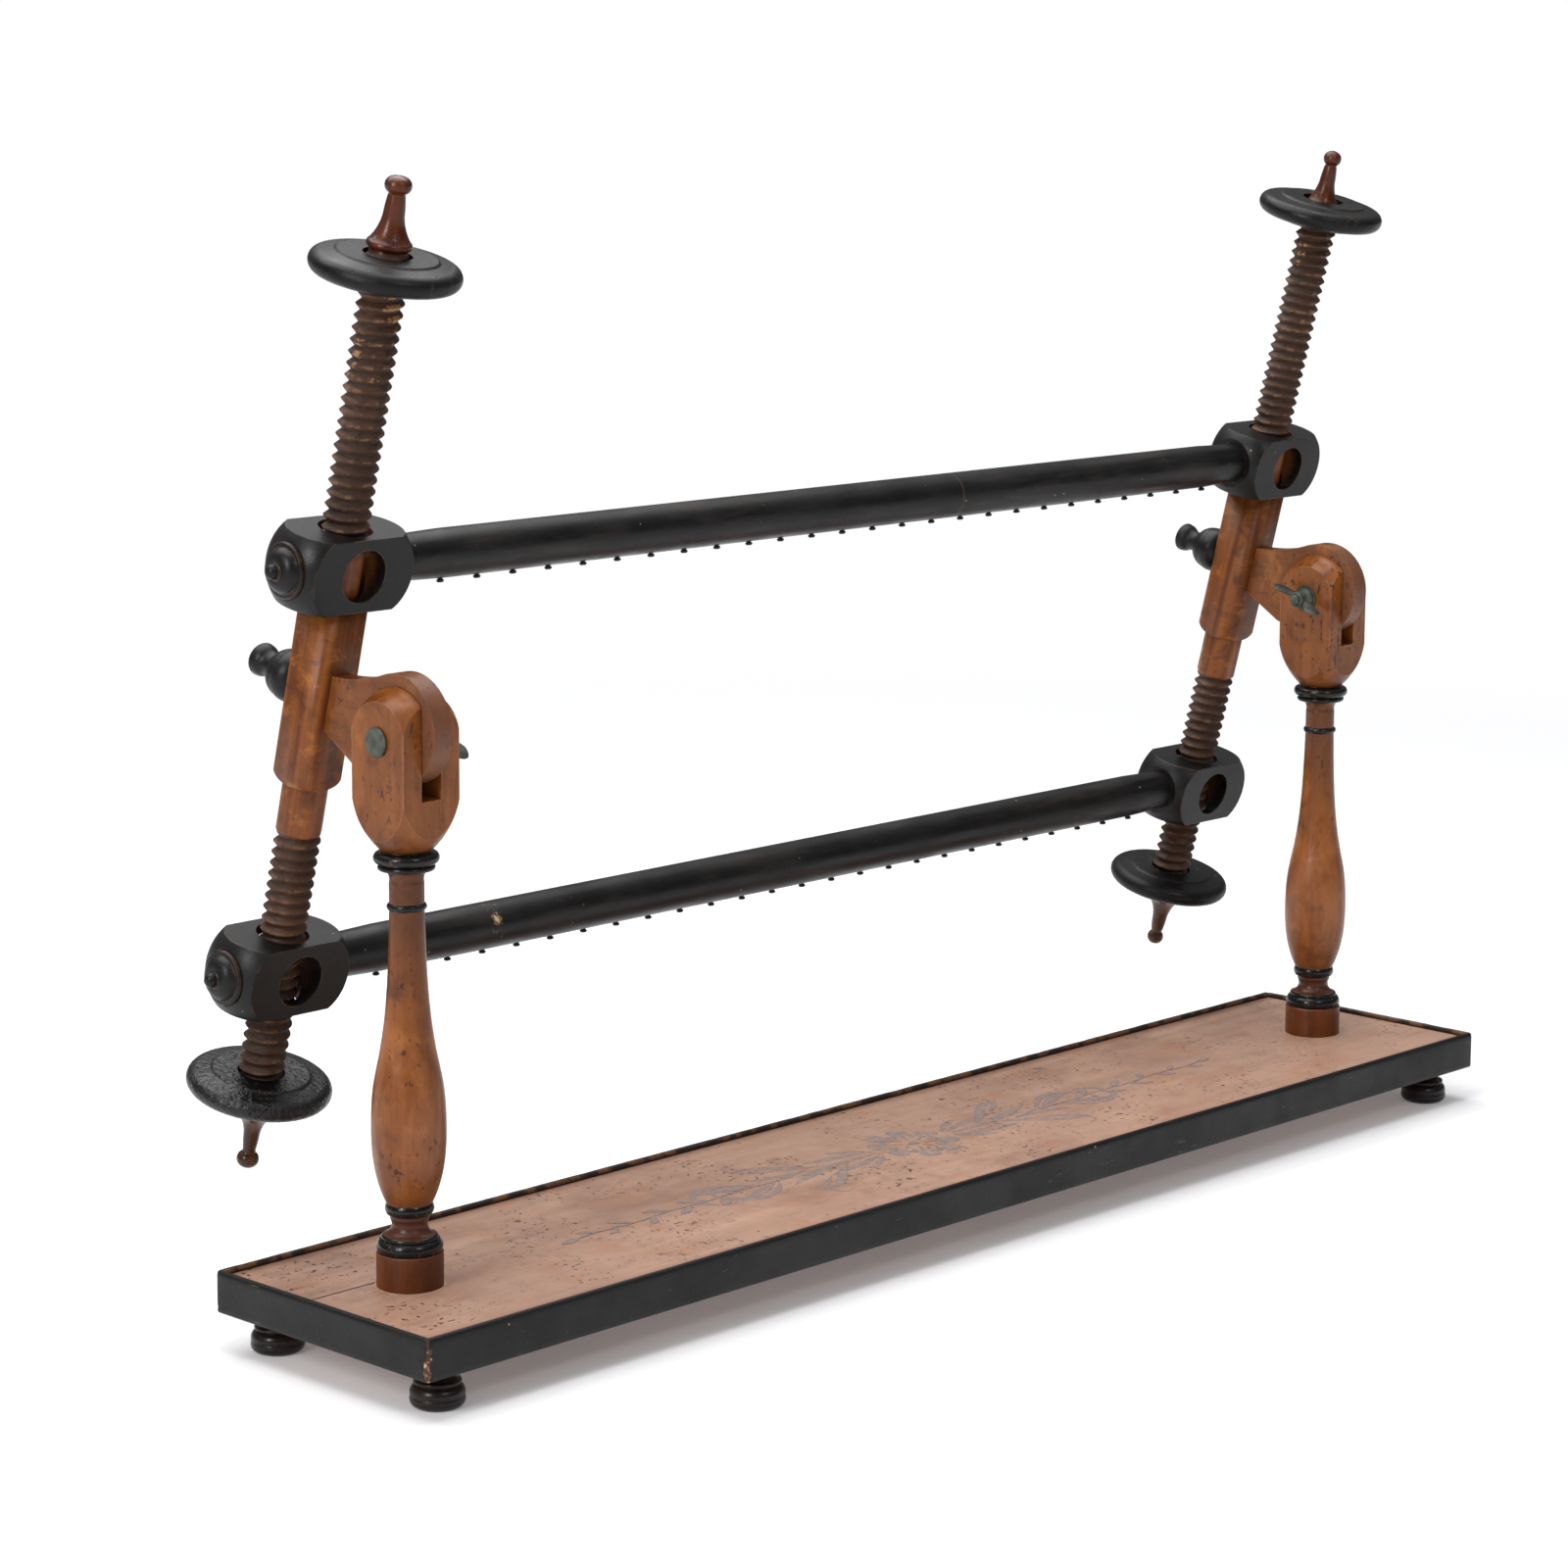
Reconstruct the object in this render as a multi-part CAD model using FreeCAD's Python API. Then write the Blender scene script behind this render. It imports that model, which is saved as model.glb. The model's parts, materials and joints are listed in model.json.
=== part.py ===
import FreeCAD, Part
import math
import os

# Adjustable table frame for embroidery and tapestry: a plinth board on four bun feet carries two turned
# posts with forked heads. Each fork holds an arm on a pivot bolt with a wing nut. The arm's tenon goes
# through a stile whose two ends are wooden screws. Two rollers slide on the screws, between disc nuts.
# Millimetres, +X along the rollers, +Z up, origin at the middle of the whole frame's footprint.

V = FreeCAD.Vector

# ---- driving dimensions: base ----------------------------------------------------------------------
base_length = 840.0
base_width = 156.0
edging_height = 21.0
edging_thickness = 3.6
edging_lip = 2.8            # the lip stands this far above the board
edging_fillet = 1.2
foot_height = 20.0
foot_inset_x = 23.0         # foot centre from the base's end
foot_inset_y = 19.5         # foot centre from the base's long side
foot_spigot_r = 4.0
foot_spigot = 12.0          # how far a foot's spigot goes into the board
plinth_r = 16.3
plinth_height = 17.2

# ---- driving dimensions: posts ---------------------------------------------------------------------
post_x = 362.4              # posts, arms and stiles share this plane, left and right
post_tenon_r = 8.0
pivot_z = 305.5
head_sphere_r = 25.9        # the fork head's turned top
head_base_z = 251.7         # the head's flats start here
head_half_x = 17.5
head_half_y = 18.5
slot_width = 12.4
slot_floor_z = 277.5
bolt_r = 3.2
bolt_head_r = 7.2
bolt_head = 1.7             # thickness of the bolt's head
bolt_beyond = 11.5          # shank beyond the fork's inner cheek
washer_r = 7.6
washer_thickness = 1.2
wing_turns = {"left": 47.0, "right": 31.0}      # how far each pair of wings is turned from level
wing_thickness = 2.2

# ---- driving dimensions: arms and stiles -----------------------------------------------------------
tilt_deg = 14.0             # the stiles lean, tops forward
arm_thickness = 11.6
arm_reach = 63.9            # pivot axis to stile axis
arm_up_stile = 7.2          # the arm meets the stile this far above the stile's datum
eye_radius = 27.0
eye_p = 1.0                 # the eye's centre from the pivot, along the arm
eye_q = 4.1                 # and across it
heel_p = 23.5               # the arm's lower corner, along the arm
heel_q = -24.2              # and across it
heel_fillet = 9.0
root_top = 13.0             # the arm's upper and lower corners where it meets the stile
root_bottom = -15.0
crown_deg = 58.0            # where the arm's hollow upper edge leaves the eye
tenon_r = 5.0
tenon_out = 15.0            # the tenon's end beyond the stile, inside the knob
knob_length = 33.0
stile_size = 26.5
stile_chamfer = 3.2
shoulder_low = -40.5        # the square part of the stile, along the stile
shoulder_high = 53.5
neck_r = 11.2
neck_low = -66.5            # the lower thread starts here
neck_high = 82.0            # the upper thread starts here
thread_crest_r = 11.5
thread_root_r = 9.2
thread_pitch = 5.8
thread_land = 0.35          # half the flat on a ridge, and the flat beside a groove's floor
lower_thread_end = -210.5
upper_thread_end = 227.0
shoulder_round = 8.5        # height over which the lower shoulder is turned away
# ball, waist and collar radii and length of the four finials: each is turned a little differently
upper_finials = {"left": (6.5, 5.2, 10.6, 36.0), "right": (5.2, 4.6, 9.6, 36.0)}
lower_finials = {"left": (5.7, 4.2, 11.0, 38.5), "right": (5.0, 4.6, 10.4, 37.0)}

# ---- driving dimensions: rollers and nuts ----------------------------------------------------------
roller_r = 12.3
roller_taper = 0.9          # the bar is this much thinner at its ends
roller_taper_length = 30.0
spigot_r = 7.0
spigot_length = 16.0
block_half = 18.4           # half the block's square section
block_bore_r = 13.2
block_flat_half = 20.7      # half the length of the block's square edges
block_end = 33.0            # half the block's whole length
block_end_r = 14.6
button_stem_r = 4.5
button_stem = 10.0
upper_roller_s = 72.0       # roller axes along the stile
lower_roller_s = -139.0
pin_count = 26
pin_r = 1.2
pin_head_r = 1.9
pin_out = 2.0
pin_turn_deg = 20.0         # the nails sit this far forward of the bar's lowest line
pin_depth = 7.0
pin_span = 600.0
disc_r = 36.6
disc_half = 7.3             # half the disc nut's thickness
disc_rim_r = 5.4            # radius of its rounded rim
disc_ring_r = 24.6          # raised ring round the bore, on both faces
disc_bore_r = 11.9
disc_places = {("upper", "left"): 218.3, ("upper", "right"): 226.6,
               ("lower", "left"): -202.8, ("lower", "right"): -202.8}

fit = 0.05                  # radial clearance of a shaft in its hole
past = 1.0                  # cutters run this far past the faces they cut
sides = {"left": -1, "right": 1}

# ---- derived places --------------------------------------------------------------------------------
tilt = math.radians(tilt_deg)
board_top = foot_height + edging_height - edging_lip
plinth_top = board_top + plinth_height
# the lower disc nuts reach furthest back: their rim's centre, then the rim's own radius
lower_disc_back = (arm_reach * math.cos(tilt) - (disc_places["lower", "left"] - arm_up_stile) * math.sin(tilt)
                   + (disc_r - disc_rim_r) * math.cos(tilt) + disc_rim_r)
post_y = (base_width / 2 - lower_disc_back) / 2
stile_y = post_y + arm_reach * math.cos(tilt) + arm_up_stile * math.sin(tilt)
stile_z = pivot_z + arm_reach * math.sin(tilt) - arm_up_stile * math.cos(tilt)
foot_x = base_length / 2 - foot_inset_x
foot_y = base_width / 2 - foot_inset_y
foot_places = {"front_left_foot": (-foot_x, post_y - foot_y), "front_right_foot": (foot_x, post_y - foot_y),
               "back_left_foot": (-foot_x, post_y + foot_y), "back_right_foot": (foot_x, post_y + foot_y)}


def save(name, shape):
    """Write one sub-part."""
    if hasattr(shape, "removeSplitter"):
        shape = shape.removeSplitter()
    shape.exportStep("parts/" + name + ".step")


def box(x0, x1, y0, y1, z0, z1):
    return Part.makeBox(x1 - x0, y1 - y0, z1 - z0, V(x0, y0, z0))


def rod(r, low, high, axis="z", at=(0, 0)):
    """A cylinder along an axis, from low to high. at is its place on the other two axes."""
    a, b = at
    start = {"x": V(low, a, b), "y": V(a, low, b), "z": V(a, b, low)}[axis]
    direction = {"x": V(1, 0, 0), "y": V(0, 1, 0), "z": V(0, 0, 1)}[axis]
    return Part.makeCylinder(r, high - low, start, direction)


def turned(steps):
    """A turning about +Z, cut step by step from its lower end.

    A step is (r, z), a straight cut; (r_mid, z_mid, r, z), an arc; or a list of (r, z), a smooth curve.
    """
    foot = V(0, 0, steps[0][1])
    here = foot
    edges = []
    for step in steps:
        if isinstance(step, list):
            curve = Part.BSplineCurve()
            curve.interpolate([here] + [V(r, 0, z) for r, z in step])
            edges.append(curve.toShape())
            here = V(step[-1][0], 0, step[-1][1])
            continue
        end = V(step[-2], 0, step[-1])
        if len(step) == 4:
            edges.append(Part.Arc(here, V(step[0], 0, step[1]), end).toShape())
        elif not end.isEqual(here, 1e-6):
            edges.append(Part.makeLine(here, end))
        here = end
    top = V(0, 0, here.z)
    if not top.isEqual(here, 1e-6):
        edges.append(Part.makeLine(here, top))
    edges.append(Part.makeLine(top, foot))
    return Part.Face(Part.Wire(edges)).revolve(V(0, 0, 0), V(0, 0, 1), 360)


def lay_along(shape, direction):
    """Turn a shape made about +Z so that its +Z points along direction."""
    laid = shape.copy()
    turn = FreeCAD.Placement(V(0, 0, 0), FreeCAD.Rotation(V(0, 0, 1), direction))
    laid.Placement = turn.multiply(shape.Placement)
    return laid


def on_stile(shape, x=0, along=0):
    """From stile coordinates (x, back, along the stile) to the frame's."""
    placed = shape.copy()
    placed.translate(V(x, 0, along))
    placed.rotate(V(0, 0, 0), V(1, 0, 0), tilt_deg)
    placed.translate(V(0, stile_y, stile_z))
    return placed


def at_pivot(shape, side):
    """Move a shape made about the origin to the pivot on one side."""
    placed = shape.copy()
    placed.translate(V(side * post_x, post_y, pivot_z))
    return placed


# ---- base ------------------------------------------------------------------------------------------
def base_board():
    half_x = base_length / 2 - edging_thickness
    half_y = base_width / 2 - edging_thickness
    board = box(-half_x, half_x, post_y - half_y, post_y + half_y, foot_height, board_top)
    for side in sides.values():
        hole = rod(post_tenon_r + fit, foot_height - past, board_top + past, at=(side * post_x, post_y))
        board = board.cut(hole)
    for place in foot_places.values():
        hole = rod(foot_spigot_r + fit, foot_height - past, foot_height + foot_spigot + past / 2, at=place)
        board = board.cut(hole)
    return board


def edging(length):
    """A mitred strip along +X with its outer face at y = 0 and its inner face behind it."""
    half = length / 2
    t = edging_thickness
    corners = [V(-half, 0, 0), V(half, 0, 0), V(half - t, t, 0), V(-half + t, t, 0), V(-half, 0, 0)]
    strip = Part.Face(Part.makePolygon(corners)).extrude(V(0, 0, edging_height))
    lip = [e for e in strip.Edges
           if abs(e.BoundBox.ZMin - edging_height) < 1e-6 and e.Length > length - 3 * t]
    return strip.makeFillet(edging_fillet, lip)


def edgings():
    """The four strips round the board, by name."""
    half_x = base_length / 2
    half_y = base_width / 2
    turns = {"front_edging": (0, 0, -half_y, base_length), "back_edging": (180, 0, half_y, base_length),
             "left_edging": (-90, -half_x, 0, base_width), "right_edging": (90, half_x, 0, base_width)}
    made = {}
    for name, (turn, x, y, length) in turns.items():
        strip = edging(length)
        strip.rotate(V(0, 0, 0), V(0, 0, 1), turn)
        strip.translate(V(x, post_y + y, foot_height))
        made[name] = strip
    return made


def bun_foot():
    return turned([(8.2, 0), (12.6, 1.6, 12.95, 5.6), (12.7, 9.0, 10.7, 10.9), (11.0, 11.2),
                   (11.5, 12.2, 11.0, 13.2), (8.4, 15.2, 9.4, foot_height), (foot_spigot_r, foot_height),
                   (foot_spigot_r, foot_height + foot_spigot)])


# ---- posts -----------------------------------------------------------------------------------------
def plinth():
    ring = turned([(plinth_r, board_top), (plinth_r, plinth_top - 0.6), (plinth_r - 0.6, plinth_top)])
    return ring.cut(rod(post_tenon_r + fit, board_top - past, plinth_top + past))


def post():
    """A turned baluster whose head is flattened on four sides and slotted for the arm."""
    z = plinth_top
    tenon = [(post_tenon_r, foot_height + 0.4), (post_tenon_r, z)]
    foot = [(15.2, z), (15.7, z + 0.6), (16.1, z + 2.6, 14.6, z + 6.0), (13.6, z + 6.0),
            (13.7, z + 7.8, 12.9, z + 8.4), (9.4, z + 11.0, 9.6, z + 16.4), (9.6, z + 18.0),
            (11.0, z + 18.6), (11.9, z + 20.6, 11.2, 79.2)]
    belly = [[(15.0, 89.0), (17.9, 106.0), (18.2, 120.0), (16.9, 137.5), (13.9, 152.9), (11.5, 168.3),
              (10.0, 184.0), (8.5, 222.6)]]
    neck = [(8.5, 222.8), (9.7, 224.5, 8.5, 226.2), (8.5, 236.0), (8.6, 239.5, 10.3, 242.0), (12.2, 242.2),
            (13.9, 243.6, 12.6, 244.9), (13.0, 245.1), (15.9, 248.1, 12.6, 251.2), (12.2, head_base_z)]
    slant = head_sphere_r * math.sin(math.pi / 4)
    head = [(19.9, 261.3, head_sphere_r, 280.0), (head_sphere_r, pivot_z),
            (slant, pivot_z + slant, 0, pivot_z + head_sphere_r)]
    body = turned(tenon + foot + belly + neck + head)

    reach = head_sphere_r + 14.0
    top = pivot_z + reach
    flats = box(-head_half_x, head_half_x, -head_half_y, head_half_y, head_base_z, top)
    below = box(-reach, reach, -reach, reach, foot_height, head_base_z)
    body = body.common(flats.fuse(below))
    body = body.cut(box(-slot_width / 2, slot_width / 2, -reach, reach, slot_floor_z, top))
    return body.cut(rod(bolt_r + fit, -reach, reach, "x", at=(0, pivot_z)))


def pivot_bolt(side):
    """Round flat head on the outer cheek, shank through fork, arm and washer."""
    outer = head_half_x
    shank_end = -head_half_x - bolt_beyond
    bolt = turned([(bolt_r - 0.6, shank_end - 0.6), (bolt_r, shank_end), (bolt_r, outer),
                   (bolt_head_r - 0.3, outer), (bolt_head_r, outer + 0.5),
                   (bolt_head_r, outer + bolt_head - 0.5), (bolt_head_r - 0.5, outer + bolt_head)])
    return at_pivot(lay_along(bolt, V(side, 0, 0)), side)


def pivot_washer(side):
    """Against the fork's inner cheek, under the wing nut."""
    washer = rod(washer_r, head_half_x, head_half_x + washer_thickness)
    washer = washer.cut(rod(bolt_r + fit, head_half_x - past, head_half_x + washer_thickness + past))
    return at_pivot(lay_along(washer, V(-side, 0, 0)), side)


def wing_nut(side, turn_deg):
    """A coned hub with two drop-shaped wings that lean outwards."""
    low = head_half_x + washer_thickness + fit
    hub = turned([(6.6, low), (6.6, low + 1.8), (5.2, low + 3.2, 4.6, low + 7.5), (4.1, low + 9.0)])
    half = wing_thickness / 2
    lobe = rod(5.8, -half, half, "y", at=(11.4, low + 7.2))
    web = Part.Face(Part.makePolygon([V(2.0, -half, low + 0.6), V(8.6, -half, low + 2.4),
                                      V(14.4, -half, low + 11.8), V(7.4, -half, low + 10.4),
                                      V(2.0, -half, low + 5.6), V(2.0, -half, low + 0.6)]))
    wing = lobe.fuse(web.extrude(V(0, wing_thickness, 0))).removeSplitter()
    other = wing.copy()
    other.rotate(V(0, 0, 0), V(0, 0, 1), 180)
    nut = hub.fuse([wing, other]).removeSplitter().cut(rod(bolt_r + fit, 0, low + 40))
    nut.rotate(V(0, 0, 0), V(0, 0, 1), 90 - side * turn_deg)
    return at_pivot(lay_along(nut, V(-side, 0, 0)), side)


# ---- arms and stiles, in stile coordinates ---------------------------------------------------------
def on_eye(angle):
    """A point on the arm's eye, at an angle from the arm's own direction."""
    return V(eye_p + eye_radius * math.cos(angle), 0, eye_q + eye_radius * math.sin(angle))


def arm():
    """Eye in the fork, flared wedge to the stile, round tenon through it with a spigot for the knob."""
    root_p = arm_reach - stile_size / 2
    half = arm_thickness / 2
    # the upper edge leaves the eye along its tangent and hollows towards the stile
    crown = on_eye(math.radians(crown_deg))
    top = V(root_p, 0, root_top)
    tangent = V(math.sin(math.radians(crown_deg)), 0, -math.cos(math.radians(crown_deg)))
    chord = top - crown
    bow = chord.Length / 2 * math.tan(tangent.getAngle(chord) / 2)
    inward = V(-chord.z, 0, chord.x).normalize() * -bow
    hollow = crown + chord * 0.5 + inward
    # the lower edge touches the eye and runs to the heel
    heel = V(heel_p, 0, heel_q)
    away = math.hypot(heel_p - eye_p, heel_q - eye_q)
    lower = on_eye(math.atan2(heel_q - eye_q, heel_p - eye_p) - math.acos(eye_radius / away))
    bottom = V(root_p, 0, root_bottom)
    outline = [Part.Arc(crown, on_eye(math.pi), lower).toShape(), Part.makeLine(lower, heel),
               Part.makeLine(heel, bottom), Part.makeLine(bottom, top),
               Part.Arc(top, hollow, crown).toShape()]
    plate = Part.Face(Part.Wire(outline)).extrude(V(0, arm_thickness, 0))
    plate.translate(V(0, -half, 0))
    heel_edge = [e for e in plate.Edges if e.BoundBox.Center.isEqual(heel, 1e-3)]
    plate = plate.makeFillet(heel_fillet, heel_edge)
    plate = plate.cut(rod(bolt_r + fit, -half - past, half + past, "y"))
    tenon = rod(tenon_r, root_p - past, arm_reach + stile_size / 2 + tenon_out, "x")
    whole = plate.fuse(tenon).removeSplitter()
    whole.rotate(V(0, 0, 0), V(0, 0, 1), 90)
    whole.translate(V(0, -arm_reach, arm_up_stile))
    return whole


def rear_knob():
    """Bulb with a flared, hollowed button end, turning on the arm's tenon."""
    low = stile_size / 2 + fit
    end = low + knob_length
    knob = turned([(9.8, low), (13.0, low + 5.2, 12.6, low + 10.4), (10.9, low + 15.6, 7.0, low + 19.0),
                   (5.9, low + 22.4, 6.9, low + 26.2), (8.0, low + 28.4, 8.3, low + 30.4),
                   (8.0, end - 0.6, 7.2, end), (6.2, end - 0.2), (4.6, end - 1.2, 2.4, end - 1.5)])
    knob = knob.cut(rod(tenon_r + fit, low - past, low + tenon_out + past))
    knob = lay_along(knob, V(0, 1, 0))
    knob.translate(V(0, 0, arm_up_stile))
    return knob


def finial(ball_r, waist_r, collar_r, length):
    """Steps of the turned end beyond a thread, from the thread's end outwards."""
    collar = length - 30.8
    ball = length - 8.4
    return [(collar_r - 1.6, 0), (collar_r - 1.6, collar - 3.8), (collar_r - 0.4, collar - 3.6),
            (collar_r + 0.4, collar - 2.0, collar_r - 0.8, collar),
            (waist_r + 1.0, (collar + ball) / 2 - 4.0, waist_r, (collar + ball) / 2 + 0.5),
            (waist_r - 0.6, ball - 3.6, waist_r - 0.9, ball - 1.6), (ball_r * 0.62, ball),
            (ball_r, length - 5.0, 0.35 * ball_r, length - 0.35), (0.4, length)]


def thread_steps(low, high):
    """V-shaped grooves between two heights, whole ridges only."""
    count = int((high - low) / thread_pitch)
    start = low + ((high - low) - count * thread_pitch) / 2
    steps = [(thread_root_r, low), (thread_root_r, start)]
    for i in range(count):
        z = start + i * thread_pitch
        middle = z + thread_pitch / 2
        steps += [(thread_root_r, z + thread_land), (thread_crest_r, middle - thread_land),
                  (thread_crest_r, middle + thread_land), (thread_root_r, z + thread_pitch - thread_land)]
    return steps + [(thread_root_r, high)]


def flipped(steps, at):
    """Steps measured outwards from a height, turned to run upwards to it."""
    out = []
    previous = steps[0]
    for step in steps[1:]:
        middle = (step[0], at - step[1]) if len(step) == 4 else ()
        out.append(middle + (previous[-2], at - previous[-1]))
        previous = step
    out.reverse()
    return [(previous[-2], at - previous[-1])] + out


def lifted(steps, by):
    """Steps measured outwards from a height, raised to start at it."""
    return [tuple(value + by if i % 2 else value for i, value in enumerate(step)) for step in steps]


def stile(upper_finial, lower_finial):
    """Screws and finials at both ends of a chamfered square middle."""
    lower_screw = thread_steps(lower_thread_end, neck_low)
    upper_screw = thread_steps(neck_high, upper_thread_end)
    neck = [(neck_r, neck_low), (neck_r, neck_high)]
    core = turned(flipped(finial(*lower_finial), lower_thread_end) + lower_screw + neck + upper_screw
                  + lifted(finial(*upper_finial), upper_thread_end))
    half = stile_size / 2
    middle = box(-half, half, -half, half, shoulder_low, shoulder_high)
    length = shoulder_high - shoulder_low
    upright = [e for e in middle.Edges if abs(e.Length - length) < 1e-6]
    middle = middle.makeChamfer(stile_chamfer, upright)
    # the lower shoulder's corners are turned away
    corner_r = half + 5.6
    rounded = turned([(half - 1.4, shoulder_low), (half + 2.0, shoulder_low + 2.4, half + 4.0,
                                                   shoulder_low + shoulder_round),
                      (corner_r, shoulder_low + shoulder_round), (corner_r, shoulder_high)])
    whole = core.fuse(middle.common(rounded)).removeSplitter()
    return whole.cut(rod(tenon_r + fit, -half - past, half + past, "y", at=(0, arm_up_stile)))


# ---- rollers and nuts, in stile coordinates --------------------------------------------------------
def roller_bar():
    """The plain bar, with a spigot in each end block."""
    end = post_x - block_end
    full = end - roller_taper_length
    end_r = roller_r - roller_taper
    bar = turned([(spigot_r, -end - spigot_length), (spigot_r, -end), (end_r, -end), (roller_r, -full),
                  (roller_r, full), (end_r, end), (spigot_r, end), (spigot_r, end + spigot_length)])
    return lay_along(bar, V(1, 0, 0))


def roller_block():
    """Square block with turned ends, bored both ways for the screw. Its outer end faces -X."""
    corner_r = block_half * math.sqrt(2)
    dome_r = block_half + 1.2
    dome_x = block_end - 3.4
    block = turned([(block_end_r, -block_end), (dome_r, -dome_x, corner_r, -block_flat_half),
                    (corner_r, block_flat_half), (dome_r, dome_x, block_end_r, block_end)])
    section = box(-block_end, block_end, -block_half, block_half, -block_half, block_half)
    block = lay_along(block, V(1, 0, 0)).common(section)
    for axis in ("y", "z"):
        block = block.cut(rod(block_bore_r, -block_half - past, block_half + past, axis))
    block = block.cut(rod(spigot_r + fit, block_end - spigot_length - past / 2, block_end + past, "x"))
    return block.cut(rod(button_stem_r + fit, -block_end - past, -block_end + button_stem + past / 2, "x"))


def end_button():
    """Stepped button with a pointed boss, its stem in the block's outer end, facing -X."""
    low = block_end
    button = turned([(button_stem_r, low - button_stem), (button_stem_r, low), (13.6, low), (13.9, low + 1.0),
                     (13.2, low + 2.0), (11.4, low + 2.2), (9.0, low + 5.6, 4.6, low + 6.8),
                     (3.7, low + 7.6), (3.3, low + 10.0, 0.4, low + 11.6)])
    return lay_along(button, V(-1, 0, 0))


def roller_pins():
    """Small nails along the roller's lower front, driven in."""
    tip = -roller_r - pin_out
    nails = []
    for i in range(pin_count):
        nail = turned([(pin_head_r * 0.5, tip), (pin_head_r * 0.85, tip + 0.3, pin_head_r, tip + 0.9),
                       (pin_head_r, tip + 1.3), (pin_r, tip + 1.7), (pin_r, -roller_r + pin_depth)])
        nail.rotate(V(0, 0, 0), V(1, 0, 0), -pin_turn_deg)
        nail.translate(V(-pin_span / 2 + i * pin_span / (pin_count - 1), 0, 0))
        nails.append(nail)
    return Part.makeCompound(nails)


def disc_nut():
    """Flat turned nut: raised ring round the bore, faces sloping to a rounded rim."""
    foot_r = disc_ring_r + 0.8
    foot_z = disc_half - 1.0
    rim_middle = disc_r - disc_rim_r
    disc = turned([(disc_ring_r - 0.5, -disc_half), (disc_ring_r, -disc_half + 0.5), (foot_r, -foot_z),
                   (rim_middle, -disc_rim_r), (disc_r, 0, rim_middle, disc_rim_r), (foot_r, foot_z),
                   (disc_ring_r, disc_half - 0.5), (disc_ring_r - 0.5, disc_half)])
    return disc.cut(rod(disc_bore_r, -disc_half - past, disc_half + past))


# ---- write every sub-part --------------------------------------------------------------------------
os.makedirs("parts", exist_ok=True)

save("base_board", base_board())
for strip_name, strip in edgings().items():
    save(strip_name, strip)
for foot_name, (x, y) in foot_places.items():
    foot = bun_foot()
    foot.translate(V(x, y, 0))
    save(foot_name, foot)

for side_name, side in sides.items():
    for name, shape in (("plinth", plinth()), ("post", post())):
        shape.translate(V(side * post_x, post_y, 0))
        save(side_name + "_" + name, shape)
    save(side_name + "_pivot_bolt", pivot_bolt(side))
    save(side_name + "_pivot_washer", pivot_washer(side))
    save(side_name + "_wing_nut", wing_nut(side, wing_turns[side_name]))
    save(side_name + "_arm", on_stile(arm(), side * post_x))
    save(side_name + "_rear_knob", on_stile(rear_knob(), side * post_x))
    whole_stile = stile(upper_finials[side_name], lower_finials[side_name])
    save(side_name + "_stile", on_stile(whole_stile, side * post_x))

for (level, side_name), along in disc_places.items():
    save(level + "_" + side_name + "_disc_nut", on_stile(disc_nut(), sides[side_name] * post_x, along))

for level, along in (("upper", upper_roller_s), ("lower", lower_roller_s)):
    save(level + "_roller_bar", on_stile(roller_bar(), 0, along))
    save(level + "_roller_pins", on_stile(roller_pins(), 0, along))
    for side_name, side in sides.items():
        for name, shape in (("block", roller_block()), ("end_button", end_button())):
            if side > 0:
                shape.rotate(V(0, 0, 0), V(0, 0, 1), 180)
            save(level + "_" + side_name + "_" + name, on_stile(shape, side * post_x, along))
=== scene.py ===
"""Looks of a table embroidery frame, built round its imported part. Metres, in the part's own frame."""
import json
import math
import random

import bmesh
import bpy
from mathutils import Matrix, Vector, noise


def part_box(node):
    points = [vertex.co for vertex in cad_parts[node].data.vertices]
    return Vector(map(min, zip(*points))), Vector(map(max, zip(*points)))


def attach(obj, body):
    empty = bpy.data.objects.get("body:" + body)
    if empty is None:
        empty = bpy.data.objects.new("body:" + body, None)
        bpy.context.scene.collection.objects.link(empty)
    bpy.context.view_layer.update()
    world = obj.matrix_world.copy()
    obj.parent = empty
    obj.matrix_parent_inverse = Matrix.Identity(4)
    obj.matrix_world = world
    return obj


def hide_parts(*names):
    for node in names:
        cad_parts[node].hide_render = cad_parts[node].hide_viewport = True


MM = 0.001
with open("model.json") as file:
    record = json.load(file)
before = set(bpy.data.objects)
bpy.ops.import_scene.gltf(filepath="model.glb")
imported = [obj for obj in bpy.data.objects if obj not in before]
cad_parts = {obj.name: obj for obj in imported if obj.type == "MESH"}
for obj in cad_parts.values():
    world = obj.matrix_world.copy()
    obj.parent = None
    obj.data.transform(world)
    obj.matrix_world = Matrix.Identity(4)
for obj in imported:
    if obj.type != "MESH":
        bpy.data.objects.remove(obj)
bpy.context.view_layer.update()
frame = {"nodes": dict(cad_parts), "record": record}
nodes = frame["nodes"]
joints = {joint["name"]: joint for joint in frame["record"]["behaviour"]["joints"]}

# ---- places read from the frame --------------------------------------------------------------------
along = Vector(joints["upper_roller_slide"]["axis"])      # up the stiles
pivot = Vector(joints["right_tilt"]["pos_m"])             # right-hand pivot
knob_point = Vector(joints["left_rear_knob_turn"]["pos_m"])
TENON_UP_STILE = 7.2 * MM                                 # the tenon's height above the stile's datum
stile_datum = knob_point - along * TENON_UP_STILE
post_x = pivot.x
post_y = pivot.y
board_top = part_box("base_board")[1].z
base_low = Vector((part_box("left_edging")[0].x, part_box("front_edging")[0].y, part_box("front_edging")[0].z))
base_high = Vector((-base_low.x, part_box("back_edging")[1].y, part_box("front_edging")[1].z))
base_half_y = (base_high.y - base_low.y) / 2
plinth_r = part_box("right_plinth")[1].y - post_y

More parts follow.
